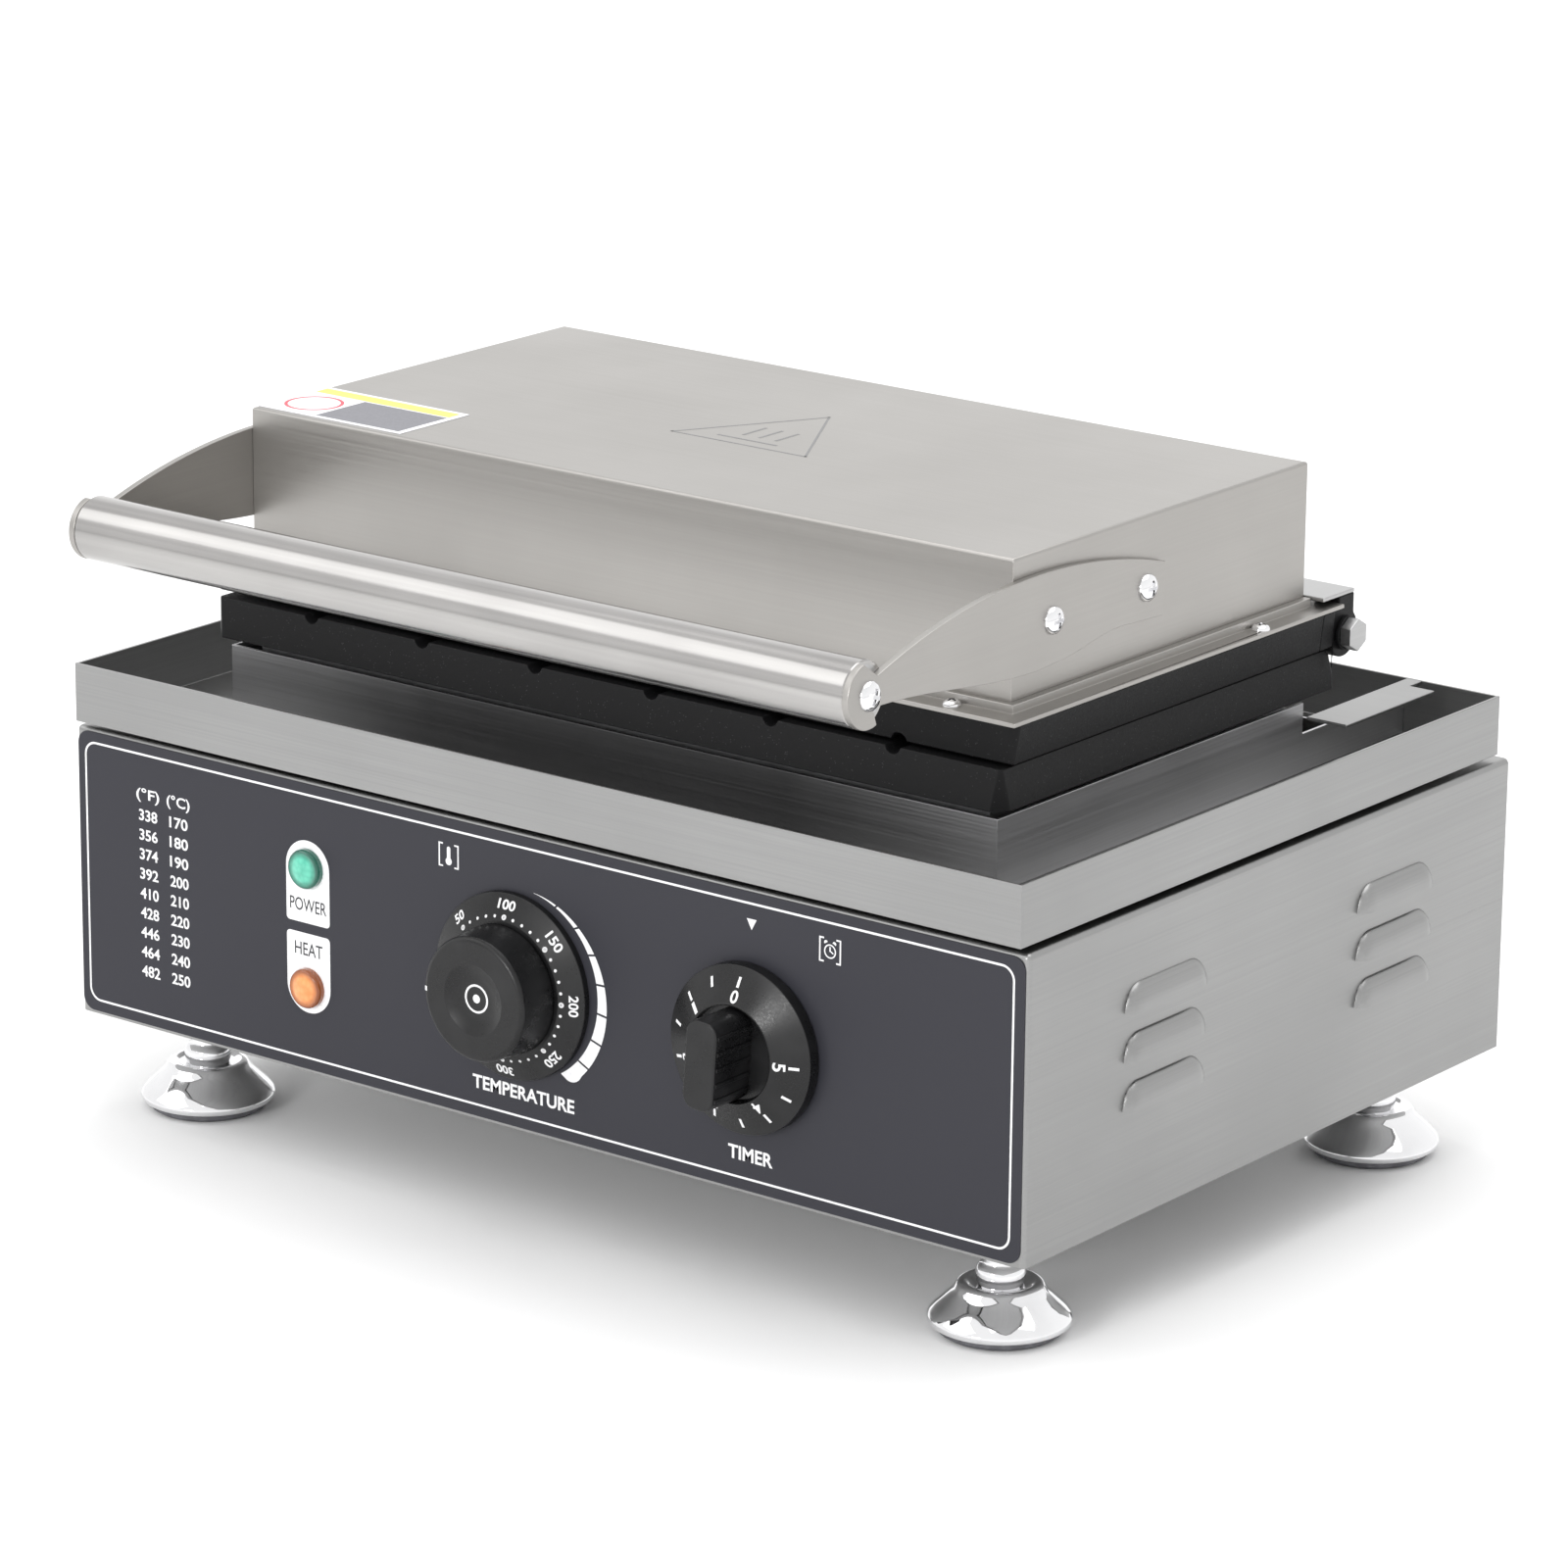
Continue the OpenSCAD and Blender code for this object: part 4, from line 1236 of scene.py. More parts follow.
@dataclass
class Print:
    """Flat printed shapes laid on the front panel or on a dial's face."""

    def flat(self, name: str, outlines: Sequence[Outline], thickness: float = 0.05) -> Piece:
        """Outlines in (x, z) millimetres, as thin slabs facing -Y just in front of y = 0.

        Returns:
            The object.
        """
        turn = Matrix.Rotation(math.pi / 2, 4, "X")
        parts = [prism(name, outline, thickness, turn) for outline in outlines]
        return merge(name, parts)

    def band(self, name: str, outer: Outline, inner: Outline, thickness: float = 0.05) -> Piece:
        """A closed ring between two outlines with as many points each, facing -Y.

        Returns:
            The object.
        """
        bm = bmesh.new()
        loops = []
        for outline, depth in ((outer, 0.0), (inner, 0.0), (inner, -thickness), (outer, -thickness)):
            loops.append([bm.verts.new((x / 1000, depth / 1000, z / 1000)) for x, z in outline])
        for first, second in zip(loops, loops[1:] + loops[:1]):
            for i in range(len(first)):
                j = (i + 1) % len(first)
                bm.faces.new((first[i], first[j], second[j], second[i]))
        return from_bmesh(name, bm)

    def words(
        self, name: str, text: str, height: float, width: Optional[float] = None, thickness: float = 0.05,
        bold: float = 0.0
    ) -> Piece:
        """Text as a thin solid mesh in the (x, z) plane, centred on the origin and facing -Y.

        Args:
            name: The object's name.
            text: A generic word or number.
            height: Height of a capital, in millimetres.
            width: Width of the whole text, in millimetres.
            thickness: Thickness of the print.
            bold: Extra line weight, as a share of the letter size.

        Returns:
            The object.
        """
        curve = bpy.data.curves.new(name, "FONT")
        curve.body = text
        curve.align_x = "CENTER"
        curve.size = 1.0
        curve.resolution_u = 4
        curve.extrude = 0.02
        curve.offset = bold
        obj = new_object(name, curve)
        graph = bpy.context.evaluated_depsgraph_get()
        mesh = bpy.data.meshes.new_from_object(obj.evaluated_get(graph), depsgraph=graph)
        bpy.data.objects.remove(obj)
        bpy.data.curves.remove(curve)
        xs = [v.co.x for v in mesh.vertices]
        ys = [v.co.y for v in mesh.vertices]
        x0, x1, y0, y1 = min(xs), max(xs), min(ys), max(ys)
        tall = height / 1000 / (y1 - y0)
        wide = width / 1000 / (x1 - x0) if width else tall
        for v in mesh.vertices:
            x, y, z = v.co
            v.co = (
                (x - (x0 + x1) / 2) * wide, -(z + 0.02) / 0.04 * thickness / 1000, (y - (y0 + y1) / 2) * tall
            )
        bm = bmesh.new()
        bm.from_mesh(mesh)
        bpy.data.meshes.remove(mesh)
        bmesh.ops.remove_doubles(bm, verts=bm.verts, dist=1e-7)
        bmesh.ops.recalc_face_normals(bm, faces=bm.faces)
        return from_bmesh(name, bm, tidy=False)

    def put(
        self, obj: Piece, x: float, z: float, y: float = PANEL_Y, turn: float = 0.0, tilt: float = 0.0,
        out: float = 0.0
    ) -> Piece:
        """Moves a print from the origin to its place on the panel or a dial.

        Args:
            obj: The print.
            x: The place's x.
            z: The place's height.
            y: The surface's y.
            turn: Turn seen from the front, counter-clockwise in degrees.
            tilt: Tilt about its own level axis, in degrees.
            out: Radius at which it stands, up from the centre before the turn.

        Returns:
            The same object.
        """
        place = (
            stand(x, y, z)
            @ Matrix.Rotation(-math.radians(turn), 4, "Y")
            @ Matrix.Translation((0, 0, out / 1000))
            @ Matrix.Rotation(math.radians(tilt), 4, "X")
        )
        obj.data.transform(place)
        return obj


# ---------------------------------------------------------------- sub-assemblies


@dataclass
class BaseBox:
    """The base: shell with pressed louvres, back panel, bottom plate and panel film."""

    trees: Trees
    louvre_l: float = 45.0
    louvre_h: float = 9.3
    louvre_p: float = 3.6
    louvre_ys: tuple[float, ...] = (75.5, 211.5)
    louvre_zs: tuple[float, ...] = (38.5, 55.2, 71.9)

    def shell(self) -> None:
        """Bends the shell from one sheet, cuts the vents and the holes, and rounds its bends."""
        outer = box_object("BaseShell", at(-BODY_W / 2, 0, 0), at(BODY_W / 2, BODY_D, BODY_H))
        top, front, back = at(0, 0, BODY_H - 1).z, at(0, 1, 0).y, at(0, BODY_D - 1, 0).y

        def is_bend(edge: bmesh.types.BMEdge) -> bool:
            """Whether the sheet bends here: round the top but at the back, and up the front corners."""
            ends = [v.co for v in edge.verts]
            upright = abs(ends[0].z - ends[1].z) > 0.05 and all(c.y < front for c in ends)
            return (all(c.z > top for c in ends) or upright) and not all(c.y > back for c in ends)

        round_edges(outer, is_bend, 0.002, 5)
        cutters = [
            box_object(
                "c", at(-BODY_W / 2 + SHEET, SHEET, -5), at(BODY_W / 2 - SHEET, BODY_D + 5, BODY_H - SHEET)
            )
        ]
        for side in (-1, 1):
            for y in self.louvre_ys:
                for z in self.louvre_zs:
                    x = side * BODY_W / 2
                    half = self.louvre_l / 2 - 1.6
                    cutters.append(
                        box_object(
                            "c", at(x - 3, y - half, z + 0.1), at(x + 3, y + half, z + self.louvre_h - 3.2)
                        )
                    )
        for x, z, r in (
            (LAMP_X, 73.8, 6), (LAMP_X, 31, 6), (TEMPERATURE_X, KNOB_Z, 5.5), (TIMER_X, KNOB_Z, 5.5)
        ):
            cutters.append(
                lathe("c", [(r, -4), (r, 4)], stand(x, 0, z, Axis.NEG_Y), 32)
            )
        for x, y, r in (
            (150, 236, 9), (-100, 256, 7), (138, 80, 3), (138, 190, 3), (-138, 80, 3), (-138, 190, 3)
        ):
            cutters.append(lathe("c", [(r, -4), (r, 4)], stand(x, y, BODY_H), 32))
        cut(outer, cutters)
        add_bevel(outer, 0.25, 2, 50)
        finish_piece(outer, "body_steel", "base", ["base_shell"])

    def hood(self) -> Piece:
        """One louvre hood, open below, growing out of x = 0 to +X, centred on y = 0.

        Returns:
            The hood.
        """
        bm = bmesh.new()
        n_u, n_v = 36, 10
        half, end = self.louvre_l / 2, 8.0
        grid = []
        for i in range(n_u + 1):
            u = -half + self.louvre_l * i / n_u
            e = max(0.0, (abs(u) - (half - end)) / end)
            top = self.louvre_h * math.sqrt(max(0.0, 1 - e * e))
            reach = self.louvre_p * math.sqrt(max(0.0, 1 - e**3))
            row = []
            for k in range(n_v + 1):
                a = math.pi / 2 * k / n_v
                row.append(
                    bm.verts.new(
                        (reach * math.cos(a) ** 1.15 / 1000 - 0.0001, u / 1000, top * math.sin(a) / 1000)
                    )
                )
            grid.append(row)
        for i in range(n_u):
            for k in range(n_v):
                bm.faces.new((grid[i][k], grid[i + 1][k], grid[i + 1][k + 1], grid[i][k + 1]))
        obj = from_bmesh("hood", bm)
        mod = obj.modifiers.new("Wall", "SOLIDIFY")
        mod.thickness = 0.0009
        mod.offset = -1.0
        if obj.data.polygons[0].normal.x < 0:
            obj.data.flip_normals()
        return apply_all(obj)

    def louvres(self) -> None:
        """Presses the louvres on both sides."""
        for side, name in ((1, "LouvresRight"), (-1, "LouvresLeft")):
            hood = self.hood()
            if side < 0:
                hood.data.transform(Matrix.Rotation(math.pi, 4, "Z"))
            made = self.trees.on_grid(
                name, hood, "body_steel",
                at(side * BODY_W / 2, self.louvre_ys[0], self.louvre_zs[0]),
                Vector((0, (self.louvre_ys[1] - self.louvre_ys[0]) / 1000, 0)), 2,
                Vector((0, 0, (self.louvre_zs[1] - self.louvre_zs[0]) / 1000)), 3,
            )
            finish_piece(made, "body_steel", "base", smooth=45)

    def build(self) -> None:
        """Builds the base box."""
        self.shell()
        self.louvres()
        from_cad("back_panel", "body_steel", bevel=0)
        from_cad("bottom_plate", "plain_steel", bevel=0)
        from_cad("control_overlay", "overlay", bevel=0.12)


@dataclass
class PanelPrint:
    """The white border, tables, badges, marks and words on the panel film."""

    trees: Trees
    ink: Print = field(default_factory=Print)

    def border(self) -> None:
        """The thin white line round the panel."""
        outer = round_rect(-200.6, 5.0, 199.9, 100.3, 5.0)
        inner = round_rect(-199.85, 5.75, 199.15, 99.55, 4.3)
        finish_piece(self.ink.put(self.ink.band("PanelBorder", outer, inner), 0, 0), "white")

    def table(self) -> None:
        """The two columns of temperatures with their unit heads."""
        rows = [
            (338, 170), (356, 180), (374, 190), (392, 200), (410, 210), (428, 220), (446, 230), (464, 240),
            (482, 250)
        ]
        parts = []
        for i, pair in enumerate(rows):
            z = 78.0 - (78.0 - 21.0) / 8 * i
            for number, x in zip(pair, (-171.0, -156.7)):
                parts.append(self.ink.put(self.ink.words("n", str(number), 4.1, 8.6, bold=0.018), x, z))
        for letter, x in (("F", -171.0), ("C", -156.7)):
            parts.append(self.ink.put(self.ink.words("n", f"(°{letter})", 5.2, 10.8, bold=0.015), x, 85.2))
        finish_piece(merge("TemperatureTable", parts), "white")

    def badges(self) -> None:
        """The two white badges round the lamps, each with its word."""
        power = arc(-97, 73.8, 9.8, 0, 180, 24) + arc(-105.3, 55.5, 1.5, 180, 270, 4)
        power += arc(-88.7, 55.5, 1.5, 270, 360, 4)
        heat = arc(-97, 31.6, 9.8, 180, 360, 24) + arc(-88.7, 48.8, 1.5, 0, 90, 4)
        heat += arc(-105.3, 48.8, 1.5, 90, 180, 4)
        finish_piece(self.ink.put(self.ink.flat("LampBadges", [power, heat]), 0, 0), "badge")
        words = [
            self.ink.put(self.ink.words("w", "POWER", 4.6, 16.6, bold=0.004), -96.9, 60.4, PANEL_Y - 0.05),
            self.ink.put(self.ink.words("w", "HEAT", 4.6, 12.6, bold=0.004), -96.9, 44.6, PANEL_Y - 0.05),
        ]
        finish_piece(merge("BadgeWords", words), "dark")

    def words(self) -> None:
        """The names of the two dials."""
        parts = [
            self.ink.put(self.ink.words("w", "TEMPERATURE", 4.9, 44.3, bold=0.024), -1.3, 13.7),
            self.ink.put(self.ink.words("w", "TIMER", 4.8, 18.4, bold=0.024), 95.3, 13.7),
        ]
        finish_piece(merge("DialWords", parts), "white")

    def icon(self, x: float, z: float, inner: Sequence[Piece]) -> list[Piece]:
        """Square brackets round a small pictogram.

        Returns:
            The prints.
        """
        half_w, half_h, line, hook = 4.4, 4.2, 0.55, 1.9
        parts = []
        for side in (-1, 1):
            e = side * half_w
            lip = side * (half_w - hook)
            shape = [(e, -half_h), (e, half_h), (lip, half_h), (lip, half_h - line),
                     (e - side * line, half_h - line),
                     (e - side * line, -half_h + line), (lip, -half_h + line), (lip, -half_h)]
            parts.append(self.ink.put(self.ink.flat("b", [shape]), x, z))
        for obj in inner:
            parts.append(self.ink.put(obj, x, z))
        return parts

    def icons(self) -> None:
        """The thermometer and clock marks, and the pointer over the timer."""
        stem = arc(0, 2.4, 0.75, 0, 180, 8) + arc(0, -2.0, 1.35, 124, 416, 16)
        parts = self.icon(-33.6, 90.8, [self.ink.flat("t", [stem])])
        ring = self.ink.band("c", arc(0, -0.3, 2.4, 0, 345, 23), arc(0, -0.3, 1.95, 0, 345, 23))
        hands = self.ink.flat(
            "h",
            [
                [(-0.25, -0.4), (0.25, -0.4), (0.25, 1.2), (-0.25, 1.2)],
                [(0.2, -0.5), (1.2, -1.1), (1.4, -0.7), (0.2, 0.0)]
            ]
        )
        bells = self.ink.flat("b", [arc(-1.7, 2.5, 0.75, 20, 220, 8), arc(1.7, 2.5, 0.75, -40, 160, 8)])
        parts += self.icon(127.0, 90.6, [ring, hands, bells])
        parts.append(self.ink.put(self.ink.flat("p", [[(-2.0, 1.7), (0, -2.0), (2.0, 1.7)]]), 95.1, 93.0))
        finish_piece(merge("PanelIcons", parts), "white")

    def heat_arc(self) -> None:
        """The arc of eight segments that widens round the temperature dial."""
        count, gap = 8, 1.3
        outlines = []
        for i in range(count):
            outer = (84.3 - 17.75 * i, 84.3 - 17.75 * (i + 1) + gap)
            inner = (80.4 - 17.55 * i, 80.4 - 17.55 * (i + 1) + gap)
            edge = arc(-0.1, 50.5, 34.8, outer[0], outer[1], 6)
            if i == count - 1:
                edge = arc(-0.1, 50.5, 34.8, outer[0], outer[0] - 6, 3) + arc(19.6, 27.0, 4.6, -40, -118, 8)
            outlines.append(edge + arc(-2.0, 52.6, 32.9, inner[1], inner[0], 6))
        finish_piece(self.ink.put(self.ink.flat("HeatArc", outlines), 0, 0), "white")

    def build(self) -> None:
        """Prints the panel."""
        self.border()
        self.table()
        self.badges()
        self.words()
        self.icons()
        self.heat_arc()


@dataclass
class Lamps:
    """The two pilot lamps."""

    def build(self) -> None:
        """Turns the lenses."""
        profile = [(5.8, -26.0), (5.8, 0.0), (7.0, 0.0), (7.0, 1.0)] + arc(5.6, 1.6, 1.4, 0, 62, 6)
        profile += [(5.3, 2.75), (4.9, 2.8), (3.5, 3.25), (1.8, 3.5), (0.0, 3.6)]
        for node, z, key in (("power_lamp", 73.8, "lamp_green"), ("heat_lamp", 31.0, "lamp_orange")):
            lens = lathe(node.title().replace("_", ""), profile, stand(LAMP_X, PANEL_Y, z, Axis.NEG_Y), 64)
            finish_piece(lens, key, "base", [node])


@dataclass
class TemperatureDial:
    """The fixed numbered ring and its round knob."""

    trees: Trees
    ink: Print = field(default_factory=Print)
    rim: float = 32.5
    seat: float = 23.7
    rise: float = 6.0
    lip: float = 2.6
    first: float = 134.5
    step: float = -9.04

    def height(self, radius: float) -> float:
        """The ring's height above the film at a radius, in millimetres."""
        return self.lip + (self.rim - radius) / (self.rim - self.seat) * (self.rise - self.lip)

    def tilt(self) -> float:
        """The slope of the ring's face in degrees."""
        return math.degrees(math.atan2(self.rise - self.lip, self.rim - self.seat))

    def ring(self) -> None:
        """The fixed ring."""
        profile = [
            (5.5, 0.0), (self.rim, 0.0), (self.rim, self.lip - 0.5)
        ] + arc(self.rim - 0.5, self.lip - 0.5, 0.5, 0, 60, 4)
        profile += [(self.seat + 0.35, self.rise - 0.12), (self.seat - 0.1, self.rise), (5.5, self.rise)]
        obj = lathe(
            "TemperatureRing", profile, stand(TEMPERATURE_X, PANEL_Y, KNOB_Z, Axis.NEG_Y), 128, closed=True
        )
        finish_piece(obj, "knob_plastic", "base", ["temperature_bezel"])

    def dot(self, radius: float, at_radius: float) -> Piece:
        """One dot on the sloped face at 3 o'clock of the origin.

        Returns:
            The dot.
        """
        h = self.height(at_radius)
        place = (
            Matrix.Translation((at_radius / 1000, -(h + 0.01) / 1000, 0))
            @ Matrix.Rotation(math.radians(self.tilt()), 4, "Z")
            @ AXIS_TURN[Axis.NEG_Y]
        )
        return lathe("dot", [(0, 0), (radius, 0), (radius, 0.05), (0, 0.05)], place, 14)

    def marks(self) -> None:
        """Dots every ten degrees, larger ones with numbers every fifty."""
        centre = at(TEMPERATURE_X, PANEL_Y, KNOB_Z)
        small = self.trees.on_ring(
            "SmallDots", self.dot(0.55, 25.0), "white", centre, 26, self.first, self.step
        )
        large = self.trees.on_ring(
            "LargeDots", self.dot(0.95, 25.0), "white", centre, 6, self.first, self.step * 5
        )
        parts = [small, large]
        for i, number in enumerate((50, 100, 150, 200, 250, 300)):
            angle = self.first + self.step * 5 * i
            radius = 29.0
            text = self.ink.words("n", str(number), 3.5, 2.45 * len(str(number)), bold=0.024)
            face = PANEL_Y - self.height(radius) - 0.02
            parts.append(self.ink.put(text, TEMPERATURE_X, KNOB_Z, face, angle - 90, -self.tilt(), radius))
        finish_piece(merge("TemperatureMarks", parts), "white", "base")

    def knob(self) -> None:
        """The round knob with its thumb hollow, plain ring mark and rim tick."""
        base = -6.8
        profile = [
            (3.0, 0.0), (22.1, 0.0), (22.5, 0.4), (22.35, 3.0), (21.6, 12.2)
        ] + arc(19.6, 12.9, 2.1, 8, 86, 8)
        profile += [(12.6, 15.0)] + arc(12.6, 14.0, 1.0, 90, 125, 3) + [
            (9.6, 13.75), (7.4, 13.2), (5.4, 13.0), (0.0, 13.0)
        ]
        obj = lathe("TemperatureKnob", profile, stand(TEMPERATURE_X, base, KNOB_Z, Axis.NEG_Y), 128)
        finish_piece(obj, "knob_plastic", "temperature_dial", ["temperature_knob"])
        ring = self.ink.band("r", arc(0, 0, 5.0, 0, 352.5, 47), arc(0, 0, 4.25, 0, 352.5, 47))
        disc = self.ink.flat("d", [arc(0, 0, 1.5, 0, 345, 23)])
        parts = [self.ink.put(o, TEMPERATURE_X, KNOB_Z, base - 13.02) for o in (ring, disc)]
        side = prism("t", [(-0.6, -0.8), (0.6, -0.8), (0.6, 0.8), (-0.6, 0.8)], 0.08, Matrix.Identity(4))
        side.data.transform(
            stand(TEMPERATURE_X - 20.4, base - 14.86, KNOB_Z)
            @ Matrix.Rotation(math.radians(-22), 4, "Z")
            @ AXIS_TURN[Axis.NEG_Y]
        )
        finish_piece(merge("KnobMark", parts + [side]), "white", "temperature_dial")

    def build(self) -> None:
        """Builds the dial."""
        self.ring()
        self.marks()
        self.knob()


@dataclass
class TimerDial:
    """The turning timer dial: a sloped skirt, a sunk well and a ribbed grip bar."""

    trees: Trees
    ink: Print = field(default_factory=Print)
    lean: float = -4.0
    back: float = PANEL_Y - 0.3
    rim: float = 28.8
    side: float = 4.8
    well: float = 16.4
    rise: float = 10.6
    floor: float = 7.4
    top: float = 26.0

    def height(self, radius: float) -> float:
        """The height of the sloped face at a radius, in millimetres."""
        return self.side + (self.rim - radius) / (self.rim - self.well) * (self.rise - self.side)

    def tilt(self) -> float:
        """The slope of the face in degrees."""
        return math.degrees(math.atan2(self.rise - self.side, self.rim - self.well))

    def disc(self) -> Piece:
        """The sloped disc with its well.

        Returns:
            The object.
        """
        profile = [(3.0, 0.0), (self.rim - 0.5, 0.0), (self.rim, 0.4), (self.rim, self.side - 0.5)]
        profile += arc(self.rim - 0.5, self.side - 0.5, 0.5, 0, 62, 4)
        profile += [(self.well + 0.9, self.height(self.well + 0.9))] + arc(
            self.well + 0.5, self.rise - 0.6, 0.5, 70, 180, 5
        )
        profile += [(self.well - 0.1, self.floor + 0.4), (self.well - 0.6, self.floor), (0.0, self.floor)]
        return lathe("TimerDisc", profile, stand(TIMER_X, self.back, KNOB_Z, Axis.NEG_Y), 128)

    def leaned(self, depth: float) -> Matrix:
        """A place on the dial's axis, leaned with the grip bar."""
        return stand(TIMER_X, self.back - depth, KNOB_Z) @ Matrix.Rotation(-math.radians(self.lean), 4, "Y")

    def grip(self) -> Piece:
        """The grip bar, which stands in the well with its top leaning to the right.

        Returns:
            The object.
        """
        start = self.floor - 0.4
        outline = round_rect(-6.2, -15.3, 6.2, 15.3, 4.6, 6)
        bar = prism("TimerGrip", outline, self.top - start, self.leaned(start) @ AXIS_TURN[Axis.NEG_Y])
        return add_bevel(bar, 0.7, 3, 50)

    def ribs(self) -> Piece:
        """The ribs down both sides of the grip.

        Returns:
            The object.
        """
        start = self.floor - 0.3
        rib = prism(
            "rib", round_rect(-6.75, -0.7, 6.75, 0.7, 0.3, 3), self.top - start - 0.9, AXIS_TURN[Axis.NEG_Y]
        )
        made = self.trees.on_grid(
            "GripRibs", rib, "knob_plastic", Vector((0, 0, -0.0108)), Vector((0, 0, 0.0054)), 5,
            Vector((1, 0, 0)), 1
        )
        made.data.transform(self.leaned(start))
        return made

    def marks(self) -> None:
        """Ticks every half minute and the numbers of the minutes."""
        middle, first, step = 24.0, 86.8, 27.15
        place = (
            Matrix.Translation((middle / 1000, -(self.height(middle) + 0.01) / 1000, 0))
            @ Matrix.Rotation(math.radians(self.tilt()), 4, "Z")
            @ AXIS_TURN[Axis.NEG_Y]
        )
        tick = prism("tick", [(-1.8, -0.5), (1.8, -0.5), (1.8, 0.5), (-1.8, 0.5)], 0.08, place)
        parts = [
            self.trees.on_ring("TimerTicks", tick, "white", at(TIMER_X, self.back, KNOB_Z), 11, first, step)
        ]
        radius = 19.5
        for n in range(6):
            text = self.ink.words("n", str(n), 4.4, 2.9 if n != 1 else 1.5, thickness=0.08, bold=0.02)
            face = self.back - self.height(radius) - 0.02
            parts.append(
                self.ink.put(text, TIMER_X, KNOB_Z, face, first + 2 * step * n - 90, -self.tilt(), radius)
            )
        finish_piece(merge("TimerMarks", parts), "white", "timer_dial")

    def build(self) -> None:
        """Builds the dial."""
        disc = self.disc()
        grip = apply_all(self.grip())
        finish_piece(
            merge("TimerKnob", [disc, grip, self.ribs()]), "knob_plastic", "timer_dial", ["timer_knob"]
        )
        self.marks()


@dataclass
class TrayAndSkirt:
    """The drip tray, the wall round the heater, and the duct."""

    def build(self) -> None:
        """Builds the tray, skirt and duct."""
        from_cad("drip_tray", "tray_steel", bevel=0.3)
        from_cad("heater_skirt", "skirt_steel", bevel=0.25)
        from_cad("duct_cover", "tray_steel", bevel=0.3)


@dataclass
class Plates:
    """The two cast plates with their moulds."""

    def build(self) -> None:
        """Builds the plates."""
        from_cad("lower_plate", "cast_coated", "base", bevel=0.5)
        from_cad("upper_plate", "cast_coated", "lid", bevel=0.5)
        from_cad("upper_hinge_ears", "cast_coated", "lid", bevel=0.5)


@dataclass
class Screws:
    """Dome-head screws with a cross recess."""

    trees: Trees

    def head(self, radius: float, height: float, shank: float, length: float) -> Piece:
        """One screw along -Z, its head resting on z = 0.

        Returns:
            The screw.
        """
        profile = [(0.0, -length), (shank, -length), (shank, 0.0), (radius, 0.0), (radius, 0.25)]
        profile += [
            (radius * math.cos(a), 0.25 + (height - 0.25) * math.sin(a))
            for a in (math.radians(d) for d in (20, 35, 50, 65, 78))
        ]
        profile += [(0.0, height)]
        screw = lathe("screw", profile, Matrix.Identity(4), 40)
        arm, wide = radius * 0.55, radius * 0.13
        tools = []
        for x, y in ((arm, wide), (wide, arm)):
            tools.append(
                box_object("c", Vector((-x, -y, height * 0.35)) / 1000, Vector((x, y, height + 1)) / 1000)
            )
        return add_bevel(cut(screw, tools), 0.12, 2, 50, clamp=True)

    def set_of(
        self, name: str, node: str, body: str, head: tuple[float, float, float, float],
        spots: Sequence[tuple[Vector, Vector]], seed: int
    ) -> None:
        """Puts one kind of screw on its places."""
        screw = apply_all(self.head(*head))
        made = self.trees.on_points(name, screw, "chrome", spots, seed)
        finish_piece(made, "chrome", body, [node], smooth=30)

    def build(self) -> None:
        """Sets every screw."""
        right, left = Vector((1, 0, 0)), Vector((-1, 0, 0))
        up, back = Vector((0, 0, 1)), Vector((0, 1, 0))
        sides = ((1, right), (-1, left))
        self.set_of(
            "HandleScrews", "handle_screws", "lid", (5.0, 2.6, 2.5, 14.0),
            [(at(s * 165, -32, 189), d) for s, d in sides], 3
        )
        self.set_of(
            "ArmScrews", "arm_screws", "lid", (4.8, 2.8, 2.5, 8.0),
            [(at(s * 165, y, 193), d) for s, d in sides for y in (65.4, 118)], 5
        )
        spots = [(at(s * 144, 39.9, LID_Z0), up) for s in (-1, 1)] + [
            (at(s * 168.9, 180, LID_Z0), up) for s in (-1, 1)
        ]
        self.set_of("FlangeScrews", "flange_screws", "lid", (3.2, 2.2, 1.6, 8.0), spots, 7)
        spots = [(at(x, BODY_D - 0.8, z), back) for x in (-190, -64, 64, 190) for z in (12, BODY_H - 12)]
        self.set_of("PanelScrews", "panel_screws", "base", (3.0, 1.8, 1.6, 7.0), spots, 11)


